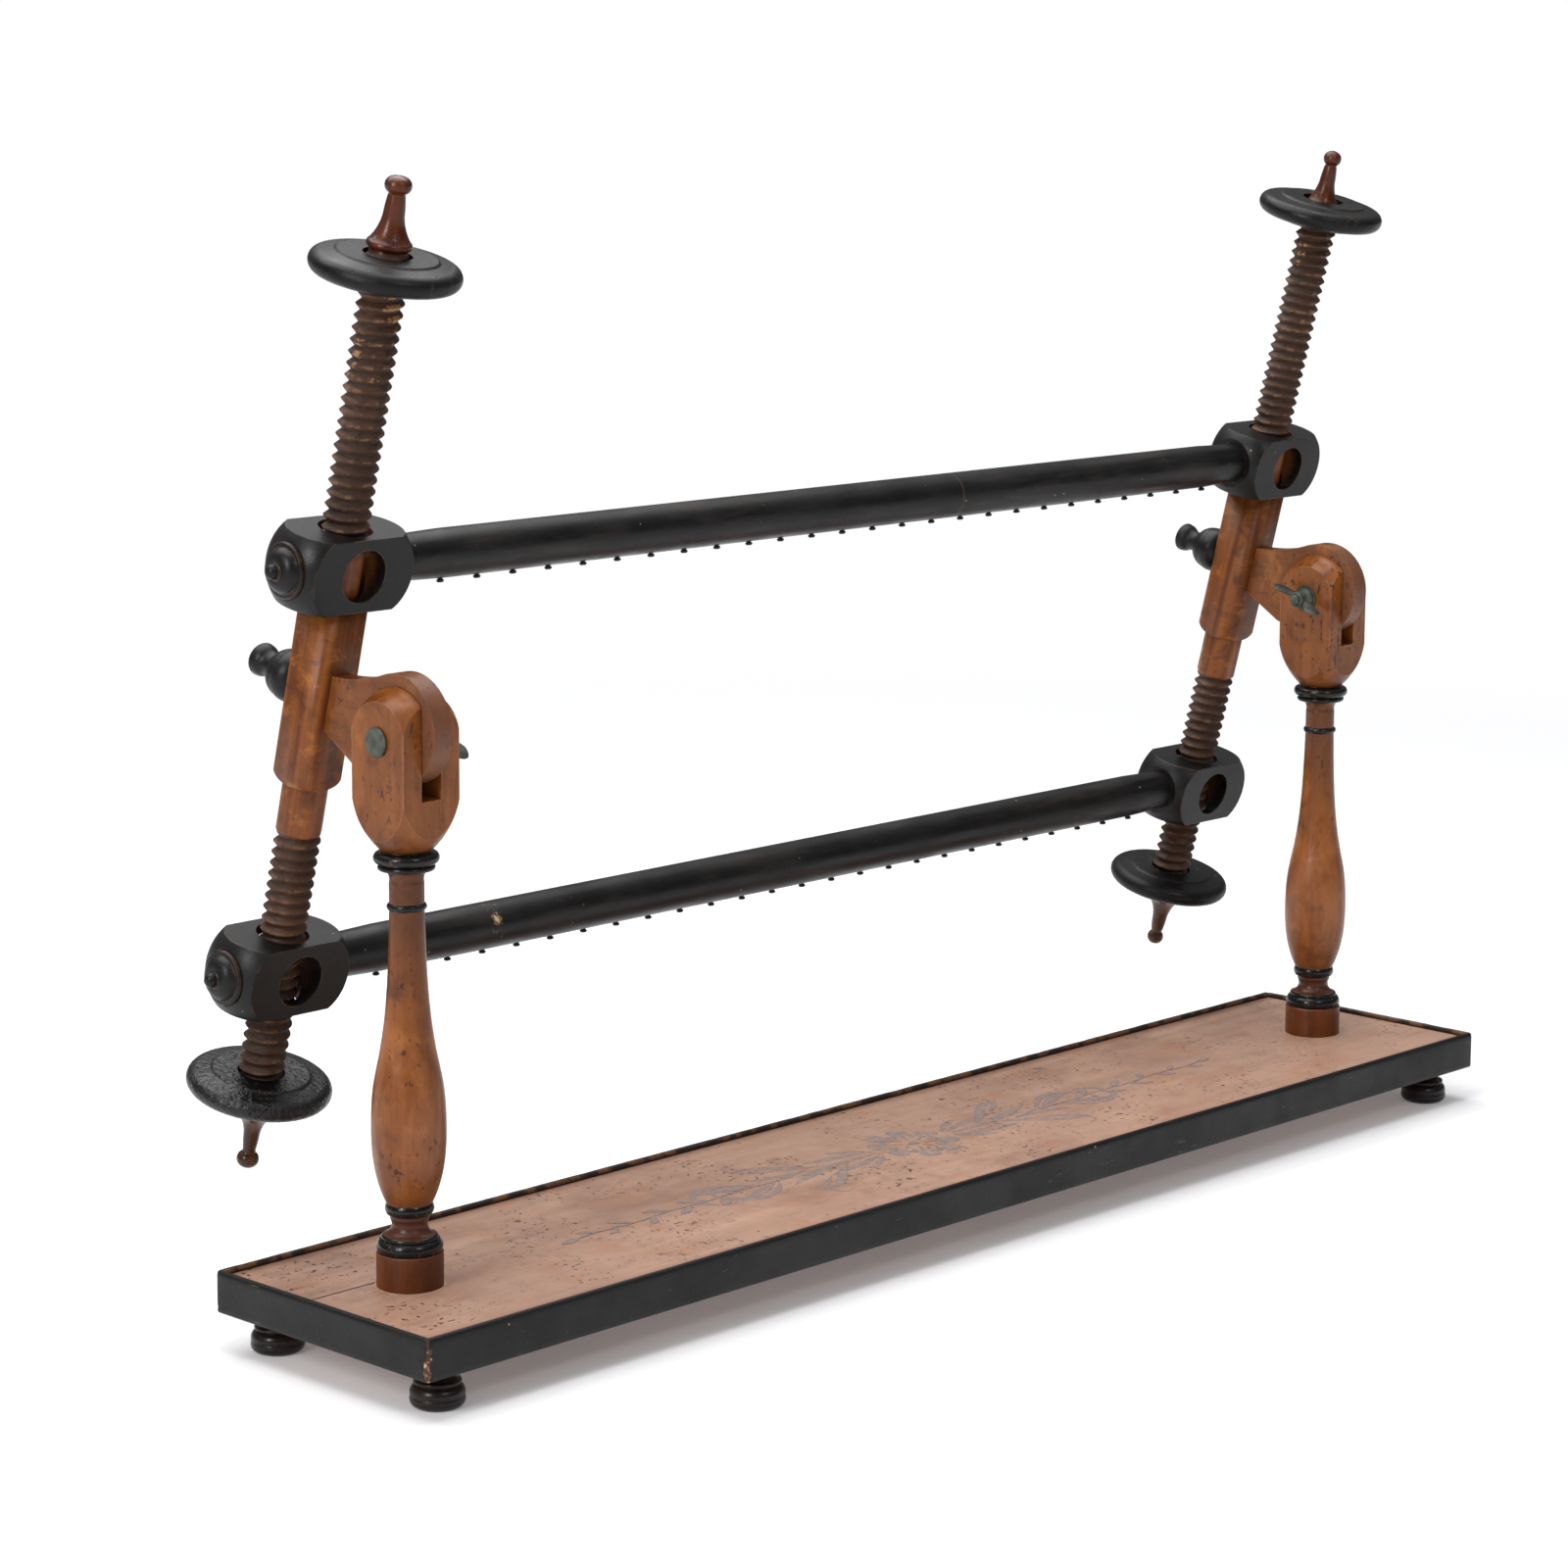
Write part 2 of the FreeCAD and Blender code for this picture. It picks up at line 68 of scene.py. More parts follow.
# ---- dimensions shared with the part ---------------------------------------------------------------
PITCH = 5.8 * MM
CREST_R = 11.6 * MM
ROOT_R = 9.1 * MM
NECK_R = 11.2 * MM
LOWER_END = -210.5 * MM             # the screws' outer ends, along the stile
UPPER_END = 227.0 * MM
NECK_LOW = -66.5 * MM               # the screws' inner ends
NECK_HIGH = 82.0 * MM
SQUARE_LOW = -40.5 * MM             # the stile's square middle
SQUARE_HIGH = 53.5 * MM
BETWEEN_ROLLERS = (0.24, 0.30)      # heights between the lower and the upper roller at rest

# ---- shapes and places of the looks ----------------------------------------------------------------
SCREW_SIDES = 48
WELD = 1e-7                 # points closer than this are one
# one turn of the thread: (height in the pitch, share of the way from root to crest)
THREAD_SHAPE = [(0.0, 0.0), (0.07, 0.05), (0.27, 0.50), (0.46, 0.95), (0.5, 1.0), (0.54, 0.95), (0.73, 0.50),
                (0.93, 0.05)]
SEAM_X = 75.0 * MM                          # the seam round the upper bar
CHIP = Vector((-0.2262, 0.0621, 0.1843))    # middle of the chip on the lower bar
# the base's corners, as the signs of x and y
CORNERS = {"left_front": (-1, -1), "right_front": (1, -1), "right_back": (1, 1), "left_back": (-1, 1)}
# pieces whose finish differs from that of their slot, by a word in their name
SPECIAL = [("arm", "arm_wood"), ("block", "ebonised_block"), ("roller_bar", "ebonised_bar"),
           ("edging", "ebonised_edging"), ("lower_left_disc_nut", "ebonised_crust"),
           ("disc_nut", "ebonised_disc")]
# painted rings round the posts, as (low, high)
BANDS = [(55.4 * MM, 63.8 * MM), (73.7 * MM, 79.3 * MM), (222.7 * MM, 226.3 * MM), (241.9 * MM, 251.7 * MM)]


# ---- material trees --------------------------------------------------------------------------------
def rgb(red, green, blue):
    """A display colour, 0 to 255, as the linear colour that a shader takes."""
    def linear(value):
        share = value / 255
        return share / 12.92 if share <= 0.04045 else ((share + 0.055) / 1.055) ** 2.4
    return (linear(red), linear(green), linear(blue), 1.0)


class Tree:
    """A material and short ways to write its nodes."""

    def __init__(self, name):
        self.material = bpy.data.materials.new(name)
        self.material.use_nodes = True
        self.nodes = self.material.node_tree.nodes
        self.links = self.material.node_tree.links
        self.nodes.clear()
        self.shader = self.node("ShaderNodeBsdfPrincipled")
        out = self.node("ShaderNodeOutputMaterial")
        self.links.new(self.shader.outputs[0], out.inputs["Surface"])
        self.place = self.node("ShaderNodeTexCoord").outputs["Object"]

    def node(self, kind, **settings):
        made = self.nodes.new(kind)
        for key, value in settings.items():
            setattr(made, key, value)
        return made

    def feed(self, socket, value):
        if isinstance(value, bpy.types.NodeSocket):
            self.links.new(value, socket)
        else:
            socket.default_value = value

    def set(self, **inputs):
        """Feeds the shader's sockets, named with _ for spaces."""
        for name, value in inputs.items():
            self.feed(self.shader.inputs[name.replace("_", " ")], value)

    def calc(self, operation, a, b=0.0, c=0.0, clamp=False):
        made = self.node("ShaderNodeMath", operation=operation, use_clamp=clamp)
        for socket, value in zip(made.inputs, (a, b, c)):
            self.feed(socket, value)
        return made.outputs[0]

    def times(self, a, b):
        return self.calc("MULTIPLY", a, b)

    def plus(self, a, b, clamp=False):
        return self.calc("ADD", a, b, clamp=clamp)

    def minus(self, a, b):
        return self.calc("SUBTRACT", a, b)

    def distance(self, a, b):
        """How far (a, b) is from (0, 0)."""
        return self.calc("SQRT", self.plus(self.calc("POWER", a, 2.0), self.calc("POWER", b, 2.0)))

    def ease(self, value, low, high, to_low=0.0, to_high=1.0):
        """A smooth step from to_low to to_high as value goes from low to high."""
        made = self.node("ShaderNodeMapRange", interpolation_type="SMOOTHSTEP")
        for socket, number in zip(made.inputs, (value, low, high, to_low, to_high)):
            self.feed(socket, number)
        return made.outputs[0]

    def mix(self, share, a, b):
        """Colour a, or b where share is 1."""
        made = self.node("ShaderNodeMix", data_type="RGBA")
        self.feed(made.inputs[0], share)
        self.feed(made.inputs[6], a)
        self.feed(made.inputs[7], b)
        return made.outputs[2]

    def scaled(self, vector, factors):
        made = self.node("ShaderNodeVectorMath", operation="MULTIPLY")
        self.feed(made.inputs[0], vector)
        self.feed(made.inputs[1], factors)
        return made.outputs[0]

    def split(self, vector):
        made = self.node("ShaderNodeSeparateXYZ")
        self.feed(made.inputs[0], vector)
        return made.outputs

    def noise(self, vector, scale, detail=3.0, roughness=0.55, distortion=0.0):
        made = self.node("ShaderNodeTexNoise")
        self.feed(made.inputs["Vector"], vector)
        self.feed(made.inputs["Scale"], scale)
        self.feed(made.inputs["Detail"], detail)
        self.feed(made.inputs["Roughness"], roughness)
        self.feed(made.inputs["Distortion"], distortion)
        return made.outputs[0]

    def crazing(self, vector, scale):
        """Distance to a net of cracks."""
        made = self.node("ShaderNodeTexVoronoi", feature="DISTANCE_TO_EDGE")
        self.feed(made.inputs["Vector"], vector)
        self.feed(made.inputs["Scale"], scale)
        return made.outputs["Distance"]

    def cells(self, vector, scale):
        """Distance to the nearest of scattered points, and a random number for each point."""
        made = self.node("ShaderNodeTexVoronoi")
        self.feed(made.inputs["Vector"], vector)
        self.feed(made.inputs["Scale"], scale)
        apart = self.node("ShaderNodeSeparateColor")
        self.links.new(made.outputs["Color"], apart.inputs[0])
        return made.outputs["Distance"], apart.outputs[0]

    def stile_place(self):
        """Places measured from the stile's datum, with z up the stile."""
        made = self.node("ShaderNodeVectorRotate", rotation_type="X_AXIS")
        self.feed(made.inputs["Vector"], self.place)
        self.feed(made.inputs["Center"], stile_datum)
        self.feed(made.inputs["Angle"], -math.atan2(-along.y, along.z))
        moved = self.node("ShaderNodeVectorMath", operation="SUBTRACT")
        self.links.new(made.outputs[0], moved.inputs[0])
        self.feed(moved.inputs[1], (0, stile_datum.y, stile_datum.z))
        return moved.outputs[0]

    def edges(self, radius):
        """1 along sharp edges, to about this radius from them, and 0 on flat faces."""
        bevel = self.node("ShaderNodeBevel", samples=6)
        self.feed(bevel.inputs["Radius"], radius)
        dot = self.node("ShaderNodeVectorMath", operation="DOT_PRODUCT")
        self.links.new(bevel.outputs[0], dot.inputs[0])
        self.links.new(self.node("ShaderNodeNewGeometry").outputs["Normal"], dot.inputs[1])
        return self.ease(dot.outputs["Value"], 0.995, 0.86)

    def corners(self, reach):
        """1 in tight inner corners and gaps, 0 in the open."""
        shade = self.node("ShaderNodeAmbientOcclusion", samples=8)
        self.feed(shade.inputs["Distance"], reach)
        return self.ease(shade.outputs["AO"], 0.62, 0.25)

    def relief(self, height, distance, round_edges=0.0):
        """Bump from a height in units of distance, on edges that shade as if rounded by a small radius."""
        bump = self.node("ShaderNodeBump")
        self.feed(bump.inputs["Distance"], distance)
        self.feed(bump.inputs["Height"], height)
        if round_edges:
            bevel = self.node("ShaderNodeBevel", samples=4)
            self.feed(bevel.inputs["Radius"], round_edges)
            self.links.new(bevel.outputs[0], bump.inputs["Normal"])
        self.links.new(bump.outputs[0], self.shader.inputs["Normal"])


def wood(name, pale, dark, stain, grain=(1, 1, 0.05), place="frame", pores=0.5, specks=0.35, gloss=0.36,
         coat=0.10, bands=(), finish=None, rub=0.0, golden=0.6):
    """Old polished wood. grain squeezes the pattern along the grain. bands are painted rings (low, high).
    rub is how far the outer edges are worn pale, golden how strong the bright patches are.

    finish(tree, where, colour, roughness) may change the last two and returns them.
    """
    t = Tree(name)
    where = t.stile_place() if place == "stile" else t.place
    run = t.scaled(where, grain)
    figure = t.noise(run, 90, detail=5, distortion=0.6)
    broad = t.noise(where, 14, detail=3, distortion=0.4)
    fibre = t.noise(run, 900, detail=2)
    mottle = t.noise(where, 52, detail=6, roughness=0.66, distortion=0.4)
    glow = t.mix(0.45, pale, rgb(196, 134, 66))
    colour = t.mix(t.ease(figure, 0.25, 0.80), dark, pale)
    colour = t.mix(t.ease(broad, 0.42, 0.75, 0.0, 0.65), colour, stain)
    colour = t.mix(t.ease(mottle, 0.50, 0.72, 0.0, 0.75), colour, stain)
    colour = t.mix(t.ease(mottle, 0.48, 0.30, 0.0, golden), colour, glow)
    colour = t.mix(t.ease(fibre, 0.40, 0.28, 0.0, pores * 0.7), colour, t.mix(0.5, stain, rgb(30, 16, 9)))
    if rub:
        edge = t.ease(t.noise(where, 120, detail=3), 0.35, 0.62, 0.1, rub)
        edge = t.times(t.edges(1.6 * MM), edge)
        colour = t.mix(edge, colour, rgb(196, 132, 84))
    spot, lot = t.cells(where, 210)
    dent = t.times(t.ease(spot, 0.16, 0.06), t.ease(lot, 1 - specks * 0.35, 1 - specks * 0.2))
    patch = t.ease(t.noise(where, 22, detail=1), 0.40, 0.62)
    fleck = t.ease(t.noise(t.scaled(where, (1, 1, 0.5)), 330, detail=2), 0.635, 0.675, 0.0, specks * 2.2)
    gouge = t.ease(t.noise(where, 120, detail=3, roughness=0.7), 0.65, 0.69, 0.0, specks * 1.8)
    dent = t.plus(dent, t.plus(fleck, gouge, clamp=True), clamp=True)
    dent = t.times(dent, patch)
    colour = t.mix(t.times(dent, 0.85), colour, rgb(28, 15, 9))
    roughness = t.plus(gloss, t.ease(broad, 0.3, 0.8, 0.0, 0.14))
    if finish:
        colour, roughness = finish(t, where, colour, roughness)
    if bands:
        height = t.split(where)[2]
        wobble = t.times(t.minus(t.noise(where, 160, detail=2), 0.5), 0.9 * MM)
        height = t.plus(height, wobble)
        painted = 0.0
        for low, high in bands:
            above = t.calc("GREATER_THAN", height, low)
            inside = t.times(above, t.calc("LESS_THAN", height, high))
            painted = t.plus(painted, inside, clamp=True)
        worn = t.ease(t.noise(where, 300, detail=3), 0.60, 0.68, 1.0, 0.35)
        painted = t.times(painted, worn)
        colour = t.mix(painted, colour, rgb(9, 8, 8))
        roughness = t.minus(roughness, t.times(painted, 0.12))
    # painted shade: darker in inner corners and gaps between parts, found by ambient occlusion and broken up
    # by noise
    painted_corner_shade = t.ease(t.noise(where, 80, detail=2), 0.2, 0.6, 0.45, 0.85)
    painted_corner_shade = t.times(t.corners(5 * MM), painted_corner_shade)
    colour = t.mix(painted_corner_shade, colour, rgb(24, 13, 8))
    t.set(Base_Color=colour, Roughness=roughness, Coat_Weight=coat, Coat_Roughness=0.14,
          Specular_IOR_Level=0.28)
    height = t.plus(t.times(fibre, 0.5), t.times(dent, -2.0))
    height = t.plus(height, t.times(mottle, 1.6))
    t.relief(height, 0.14 * MM, round_edges=0.6 * MM)
    return t.material


def span(t, value, low, high, soft=1.0 * MM):
    """1 between two places, 0 outside, with soft ends."""
    return t.times(t.ease(value, low - soft, low + soft), t.ease(value, high + soft, high - soft))


def post_finish(t, where, colour, roughness):
    """Painted shade towards the top and the foot, red-brown in the lower cove, pale and worn on the belly."""
    height = t.split(where)[2]
    # painted shade: darker towards the top and the foot of each post, by height alone
    painted_end_shade = t.calc("MAXIMUM", t.ease(height, 175 * MM, 222 * MM), t.ease(height, 88 * MM, 74 * MM))
    painted_end_shade = t.times(painted_end_shade, t.ease(height, 262 * MM, 246 * MM))
    colour = t.mix(t.times(painted_end_shade, 0.55), colour, rgb(58, 28, 14))
    colour = t.mix(span(t, height, 64 * MM, 73.5 * MM, 0.5 * MM), colour, rgb(72, 34, 18))
    belly = span(t, height, 92 * MM, 172 * MM, 18 * MM)
    rubbed = t.ease(t.noise(t.scaled(where, (1, 1, 0.4)), 70, detail=4), 0.40, 0.68)
    colour = t.mix(t.times(t.times(belly, rubbed), 0.45), colour, rgb(160, 100, 62))
    return colour, roughness


def arm_finish(t, where, colour, roughness):
    """The eye's end grain, which shows in the fork, is duller and browner."""
    nearer = t.minus(t.split(where)[1], post_y)
    ending = t.ease(nearer, -2 * MM, -16 * MM, 0.0, 0.6)
    return t.mix(ending, colour, rgb(104, 68, 52)), t.plus(roughness, t.times(ending, 0.12))


def board_finish(t, where, colour, roughness):
    """Stains, a dirty margin, scratches, a crack and worm holes at the left end, glue round the plinths."""
    x, y, _ = t.split(where)
    wander = t.times(t.minus(t.noise(where, 60, detail=3), 0.5), 2.4 * MM)
    line = t.minus(y, t.plus(wander, post_y + 14 * MM))
    crack = t.times(t.ease(t.calc("ABSOLUTE", line), 0.85 * MM, 0.40 * MM), t.ease(x, -352 * MM, -368 * MM))
    reach = t.calc("ABSOLUTE", t.minus(y, post_y))
    margin = t.ease(t.plus(reach, t.times(wander, 2.0)), 64 * MM, 75 * MM, 0.0, 0.5)
    colour = t.mix(margin, colour, rgb(84, 44, 26))
    stain = t.ease(t.noise(t.scaled(where, (0.5, 1, 1)), 26, detail=5, roughness=0.62), 0.50, 0.72, 0.0, 0.6)
    colour = t.mix(stain, colour, rgb(124, 90, 74))
    tawny = t.ease(t.noise(t.scaled(where, (0.7, 1, 1)), 44, detail=6, roughness=0.68), 0.50, 0.72, 0.0, 0.55)
    colour = t.mix(tawny, colour, rgb(156, 106, 76))
    haze = t.ease(t.noise(t.scaled(where, (0.35, 1, 1)), 11, detail=4), 0.50, 0.72, 0.0, 0.30)
    colour = t.mix(haze, colour, rgb(192, 156, 134))
    scratch = t.ease(t.noise(t.scaled(where, (0.03, 1, 1)), 640, detail=2), 0.70, 0.76, 0.0, 0.4)
    colour = t.mix(scratch, colour, rgb(84, 54, 40))
    spot, lot = t.cells(where, 150)
    ragged_x = t.plus(x, t.times(t.noise(where, 12, detail=1), 60 * MM))
    wormy = t.ease(ragged_x, -300 * MM, -340 * MM)
    wormy = t.times(wormy, t.ease(line, -14 * MM, 6 * MM, 0.3, 1.0))
    few = t.ease(wormy, 0, 1, 0.97, 0.76)
    hole = t.times(t.ease(spot, 0.19, 0.12), t.ease(lot, few, t.plus(few, 0.02)))
    colour = t.mix(t.calc("MAXIMUM", hole, crack), colour, rgb(18, 10, 7))
    off_post = t.distance(t.minus(t.calc("ABSOLUTE", x), post_x), t.minus(y, post_y))
    glue = t.times(t.ease(off_post, plinth_r + 1.3 * MM, plinth_r + 0.6 * MM),
                   t.ease(t.noise(where, 160, detail=3), 0.36, 0.56, 0.2, 0.8))
    return t.mix(glue, colour, rgb(196, 160, 128)), roughness


def ornament_finish(t, where, colour, roughness):
    """Faded grey paint over the board's own wood."""
    colour, roughness = board_finish(t, where, colour, roughness)
    thin = t.ease(t.noise(where, 210, detail=4), 0.42, 0.66, 0.90, 0.25)
    return t.mix(thin, colour, rgb(122, 111, 110)), t.plus(roughness, 0.12)


def screw_finish(t, where, colour, roughness):
    """Square middle and neck orange-brown; screws dark, worn pale in patches, with painted shade in the
    thread's grooves; finials polished red-brown.
    """
    x, y, height = t.split(where)
    middle = span(t, height, NECK_LOW, NECK_HIGH, 0.4 * MM)
    figure = t.noise(t.scaled(where, (1, 1, 0.06)), 110, detail=5, distortion=0.5)
    warm = t.mix(t.ease(figure, 0.32, 0.70), rgb(88, 44, 16), rgb(138, 78, 30))
    mottle = t.noise(t.scaled(where, (1, 1, 1.5)), 60, detail=6, roughness=0.66, distortion=0.5)
    warm = t.mix(t.ease(mottle, 0.50, 0.68, 0.0, 0.7), warm, rgb(64, 33, 15))
    warm = t.mix(t.ease(mottle, 0.46, 0.32, 0.0, 0.5), warm, rgb(172, 108, 46))
    colour = t.mix(middle, colour, warm)
    from_axis = t.distance(t.minus(t.calc("ABSOLUTE", x), post_x), y)
    thread = t.minus(1.0, middle)
    ridge = t.times(t.ease(from_axis, 10.2 * MM, 11.3 * MM), thread)
    rubbed = t.ease(t.noise(where, 170, detail=3), 0.50, 0.66, 0.0, 0.75)
    colour = t.mix(t.times(ridge, rubbed), colour, rgb(112, 80, 58))
    # painted shade: the thread's grooves darkened towards the root
    painted_groove_shade = t.times(t.ease(from_axis, 10.2 * MM, 9.3 * MM), thread)
    colour = t.mix(t.times(painted_groove_shade, 0.6), colour, rgb(34, 20, 12))
    bare = t.ease(t.noise(t.scaled(where, (1, 1, 0.3)), 105, detail=4, roughness=0.7), 0.55, 0.60)
    outer = t.times(t.ease(from_axis, 9.7 * MM, 10.6 * MM), thread)
    bare = t.times(bare, t.times(outer, t.ease(height, 140 * MM, 185 * MM)))
    colour = t.mix(t.times(bare, 0.85), colour, t.mix(figure, rgb(134, 88, 52), rgb(184, 142, 98)))
    tip = t.calc("MAXIMUM", t.ease(height, UPPER_END - 0.6 * MM, UPPER_END + 0.2 * MM),
                 t.ease(height, LOWER_END + 0.6 * MM, LOWER_END - 0.2 * MM))
    ruddy = t.mix(t.ease(figure, 0.35, 0.65), rgb(50, 20, 7), rgb(84, 38, 14))
    plain = t.mix(t.ease(figure, 0.35, 0.65), rgb(56, 32, 19), rgb(96, 62, 40))
    colour = t.mix(tip, colour, t.mix(t.calc("GREATER_THAN", height, 0.0), plain, ruddy))
    polish = t.plus(t.times(middle, -0.14), t.times(tip, -0.30))
    return colour, t.plus(roughness, polish)


def ebonised(name, wear=1.0, tint=rgb(11, 11, 11), gloss=0.36, finish=None, pitted=0.0, shine=0.24):
    """Black-stained, waxed wood, rubbed brown along its edges. pitted is how rough its crust is."""
    t = Tree(name)
    where = t.place
    cloud = t.noise(where, 30, detail=4)
    fine = t.noise(where, 520, detail=3)
    edge = t.edges(1.1 * MM)
    rub = t.ease(t.noise(where, 150, detail=4, roughness=0.65), 0.42, 0.60, 0.0, wear)
    rub = t.times(edge, rub)
    scuff = t.ease(t.noise(t.scaled(where, (0.4, 1, 1)), 330, detail=4, roughness=0.7), 0.63, 0.70, 0.0, 0.55)
    scuff = t.times(scuff, t.ease(t.noise(where, 34, detail=2), 0.46, 0.62))
    colour = t.mix(t.ease(cloud, 0.35, 0.70), tint, rgb(20, 18, 17))
    colour = t.mix(scuff, colour, rgb(74, 66, 58))
    colour = t.mix(rub, colour, rgb(96, 66, 44))
    spot, lot = t.cells(where, 130)
    nick = t.times(t.ease(spot, 0.10, 0.05), t.ease(lot, 0.955, 0.975))
    colour = t.mix(nick, colour, rgb(150, 128, 104))
    roughness = t.plus(gloss, t.ease(cloud, 0.3, 0.7, -0.05, 0.12))
    if finish:
        colour, roughness = finish(t, where, colour, roughness)
    t.set(Base_Color=colour, Roughness=roughness, Specular_IOR_Level=shine)
    height = t.plus(t.times(fine, 0.7), t.times(cloud, 2.0))
    height = t.minus(height, t.times(nick, 2.0))
    if pitted:
        crust = t.noise(where, 360, detail=3, roughness=0.6)
        hole, _ = t.cells(where, 300)
        pits = t.times(t.ease(hole, 0.30, 0.12), t.ease(t.noise(where, 60), 0.45, 0.6))
        crust = t.minus(crust, pits)
        height = t.plus(height, t.times(crust, 7.0 * pitted))
    t.relief(height, 0.12 * MM, round_edges=0.7 * MM)
    return t.material


def patinated(name):
    """Dull grey-green metal."""
    t = Tree(name)
    cloud = t.noise(t.place, 140, detail=4)
    fine = t.noise(t.place, 1500, detail=3)
    colour = t.mix(t.ease(cloud, 0.35, 0.68), rgb(62, 66, 60), rgb(92, 96, 86))
    colour = t.mix(t.ease(fine, 0.60, 0.75, 0.0, 0.6), colour, rgb(70, 62, 50))
    t.set(Base_Color=colour, Metallic=0.55, Roughness=t.ease(fine, 0.3, 0.7, 0.42, 0.62))
    t.relief(t.plus(fine, cloud), 0.12 * MM, round_edges=0.35 * MM)
    return t.material


def nail_black(name):
    """Dark iron, dull and a little uneven."""
    t = Tree(name)
    fine = t.noise(t.place, 1200, detail=2)
    t.set(Base_Color=t.mix(fine, rgb(18, 17, 16), rgb(46, 42, 38)), Metallic=0.4, Roughness=0.6)
    t.relief(fine, 0.05 * MM)
    return t.material


def bar_finish(t, where, colour, roughness):
    """Dust and flecks, a seam round the upper bar, and a ragged chip in a worn ring on the lower one."""
    x, y, z = t.split(where)
    upper = t.ease(z, *BETWEEN_ROLLERS)
    off_seam = t.calc("ABSOLUTE", t.minus(x, SEAM_X))
    seam = t.times(t.ease(off_seam, 0.5 * MM, 0.25 * MM), upper)
    colour = t.mix(seam, colour, rgb(70, 58, 48))
    spot, lot = t.cells(where, 260)
    fleck = t.times(t.ease(spot, 0.16, 0.09), t.ease(lot, 0.972, 0.98))
    colour = t.mix(fleck, colour, rgb(150, 140, 128))
    dust = t.noise(t.scaled(where, (0.15, 1, 1)), 90, detail=5, roughness=0.65)
    colour = t.mix(t.ease(dust, 0.46, 0.68, 0.0, 0.75), colour, rgb(42, 38, 35))
    across = t.calc("POWER", t.calc("DIVIDE", t.minus(x, CHIP.x), 4.2 * MM), 2.0)
    upwards = t.calc("POWER", t.calc("DIVIDE", t.minus(z, CHIP.z), 4.4 * MM), 2.0)
    grit = t.noise(where, 520, detail=4, roughness=0.7)
    near = t.times(t.calc("LESS_THAN", y, CHIP.y), t.minus(1.0, upper))
    depth = t.plus(t.plus(across, upwards), t.times(grit, 3.0))
    chip = t.times(t.ease(depth, 2.15, 1.85), near)
    pit = t.ease(t.noise(where, 560, detail=3, roughness=0.7), 0.49, 0.54)
    raw = t.mix(t.ease(depth, 2.0, 1.5), rgb(92, 68, 48), rgb(196, 170, 136))
    raw = t.mix(pit, raw, rgb(34, 26, 22))
    colour = t.mix(chip, colour, raw)
    worn_ring = t.times(t.ease(across, 1.3, 0.7), t.ease(grit, 0.58, 0.63, 0.0, 0.8))
    return t.mix(t.times(worn_ring, near), colour, rgb(116, 96, 80)), roughness


def block_finish(t, where, colour, roughness):
    """Bare brown wood inside the bores, with painted shade making it darker in the lower blocks."""
    shade = t.node("ShaderNodeAmbientOcclusion", samples=8)
    t.feed(shade.inputs["Distance"], 16 * MM)
    ragged = t.times(t.minus(t.noise(where, 260, detail=3), 0.5), 0.25)
    inside = t.ease(t.plus(shade.outputs["AO"], ragged), 0.52, 0.34)
    upper = t.ease(t.split(where)[2], *BETWEEN_ROLLERS)
    # painted shade: the bores of the lower blocks take the darker brown, the upper ones the lighter
    return t.mix(inside, colour, t.mix(upper, rgb(66, 43, 29), rgb(112, 68, 38))), roughness


def edging_finish(t, where, colour, roughness):
    """Raw wood where the front corners are knocked, its pale specks partly painted glints, scratches, and the
    inner lip rubbed brown.
    """
    x, y, z = t.split(where)
    out_x = t.minus(base_high.x, t.calc("ABSOLUTE", x))
    out_y = t.minus(base_half_y, t.calc("ABSOLUTE", t.minus(y, post_y)))
    inwards = t.calc("MINIMUM", out_x, out_y)
    upwards = t.ease(z, base_high.z - 2.4 * MM, base_high.z - 1.4 * MM)
    lip = t.times(t.ease(inwards, 2.1 * MM, 2.7 * MM), upwards)
    lip = t.times(lip, t.ease(t.noise(where, 95, detail=4), 0.44, 0.60, 0.1, 0.8))
    colour = t.mix(lip, colour, rgb(110, 72, 46))
    line = t.noise(t.scaled(where, (0.12, 0.12, 1)), 420, detail=3, roughness=0.6)
    patch = t.ease(t.noise(where, 18, detail=1), 0.50, 0.62)
    scratch = t.times(t.ease(line, 0.66, 0.70, 0.0, 0.6), patch)
    colour = t.mix(scratch, colour, rgb(92, 84, 78))
    grit = t.noise(where, 420, detail=4, roughness=0.7)
    limit = t.ease(t.noise(where, 120, detail=3), 0.40, 0.64, 1.3 * MM, 3.7 * MM)
    reach = t.calc("MAXIMUM", out_x, t.minus(y, base_low.y))
    reach = t.plus(reach, t.times(grit, 2.2 * MM))
    knocked = t.ease(t.minus(reach, limit), 0.6 * MM, 0.2 * MM)
    # raw wood from dark to pale; the pale specks are partly the wood's own fibres and partly painted glints
    raw = t.mix(t.ease(grit, 0.50, 0.64), rgb(74, 46, 30), rgb(196, 160, 126))
    return t.mix(knocked, colour, raw), roughness


def disc_finish(t, where, colour, roughness):
    """A net of fine cracks in patches."""
    gap = t.crazing(where, 95)
    patch = t.ease(t.noise(where, 26, detail=2), 0.54, 0.66)
    cracked = t.times(t.ease(gap, 0.035, 0.015), patch)
    return t.mix(cracked, colour, rgb(58, 50, 44)), t.plus(roughness, 0.03)


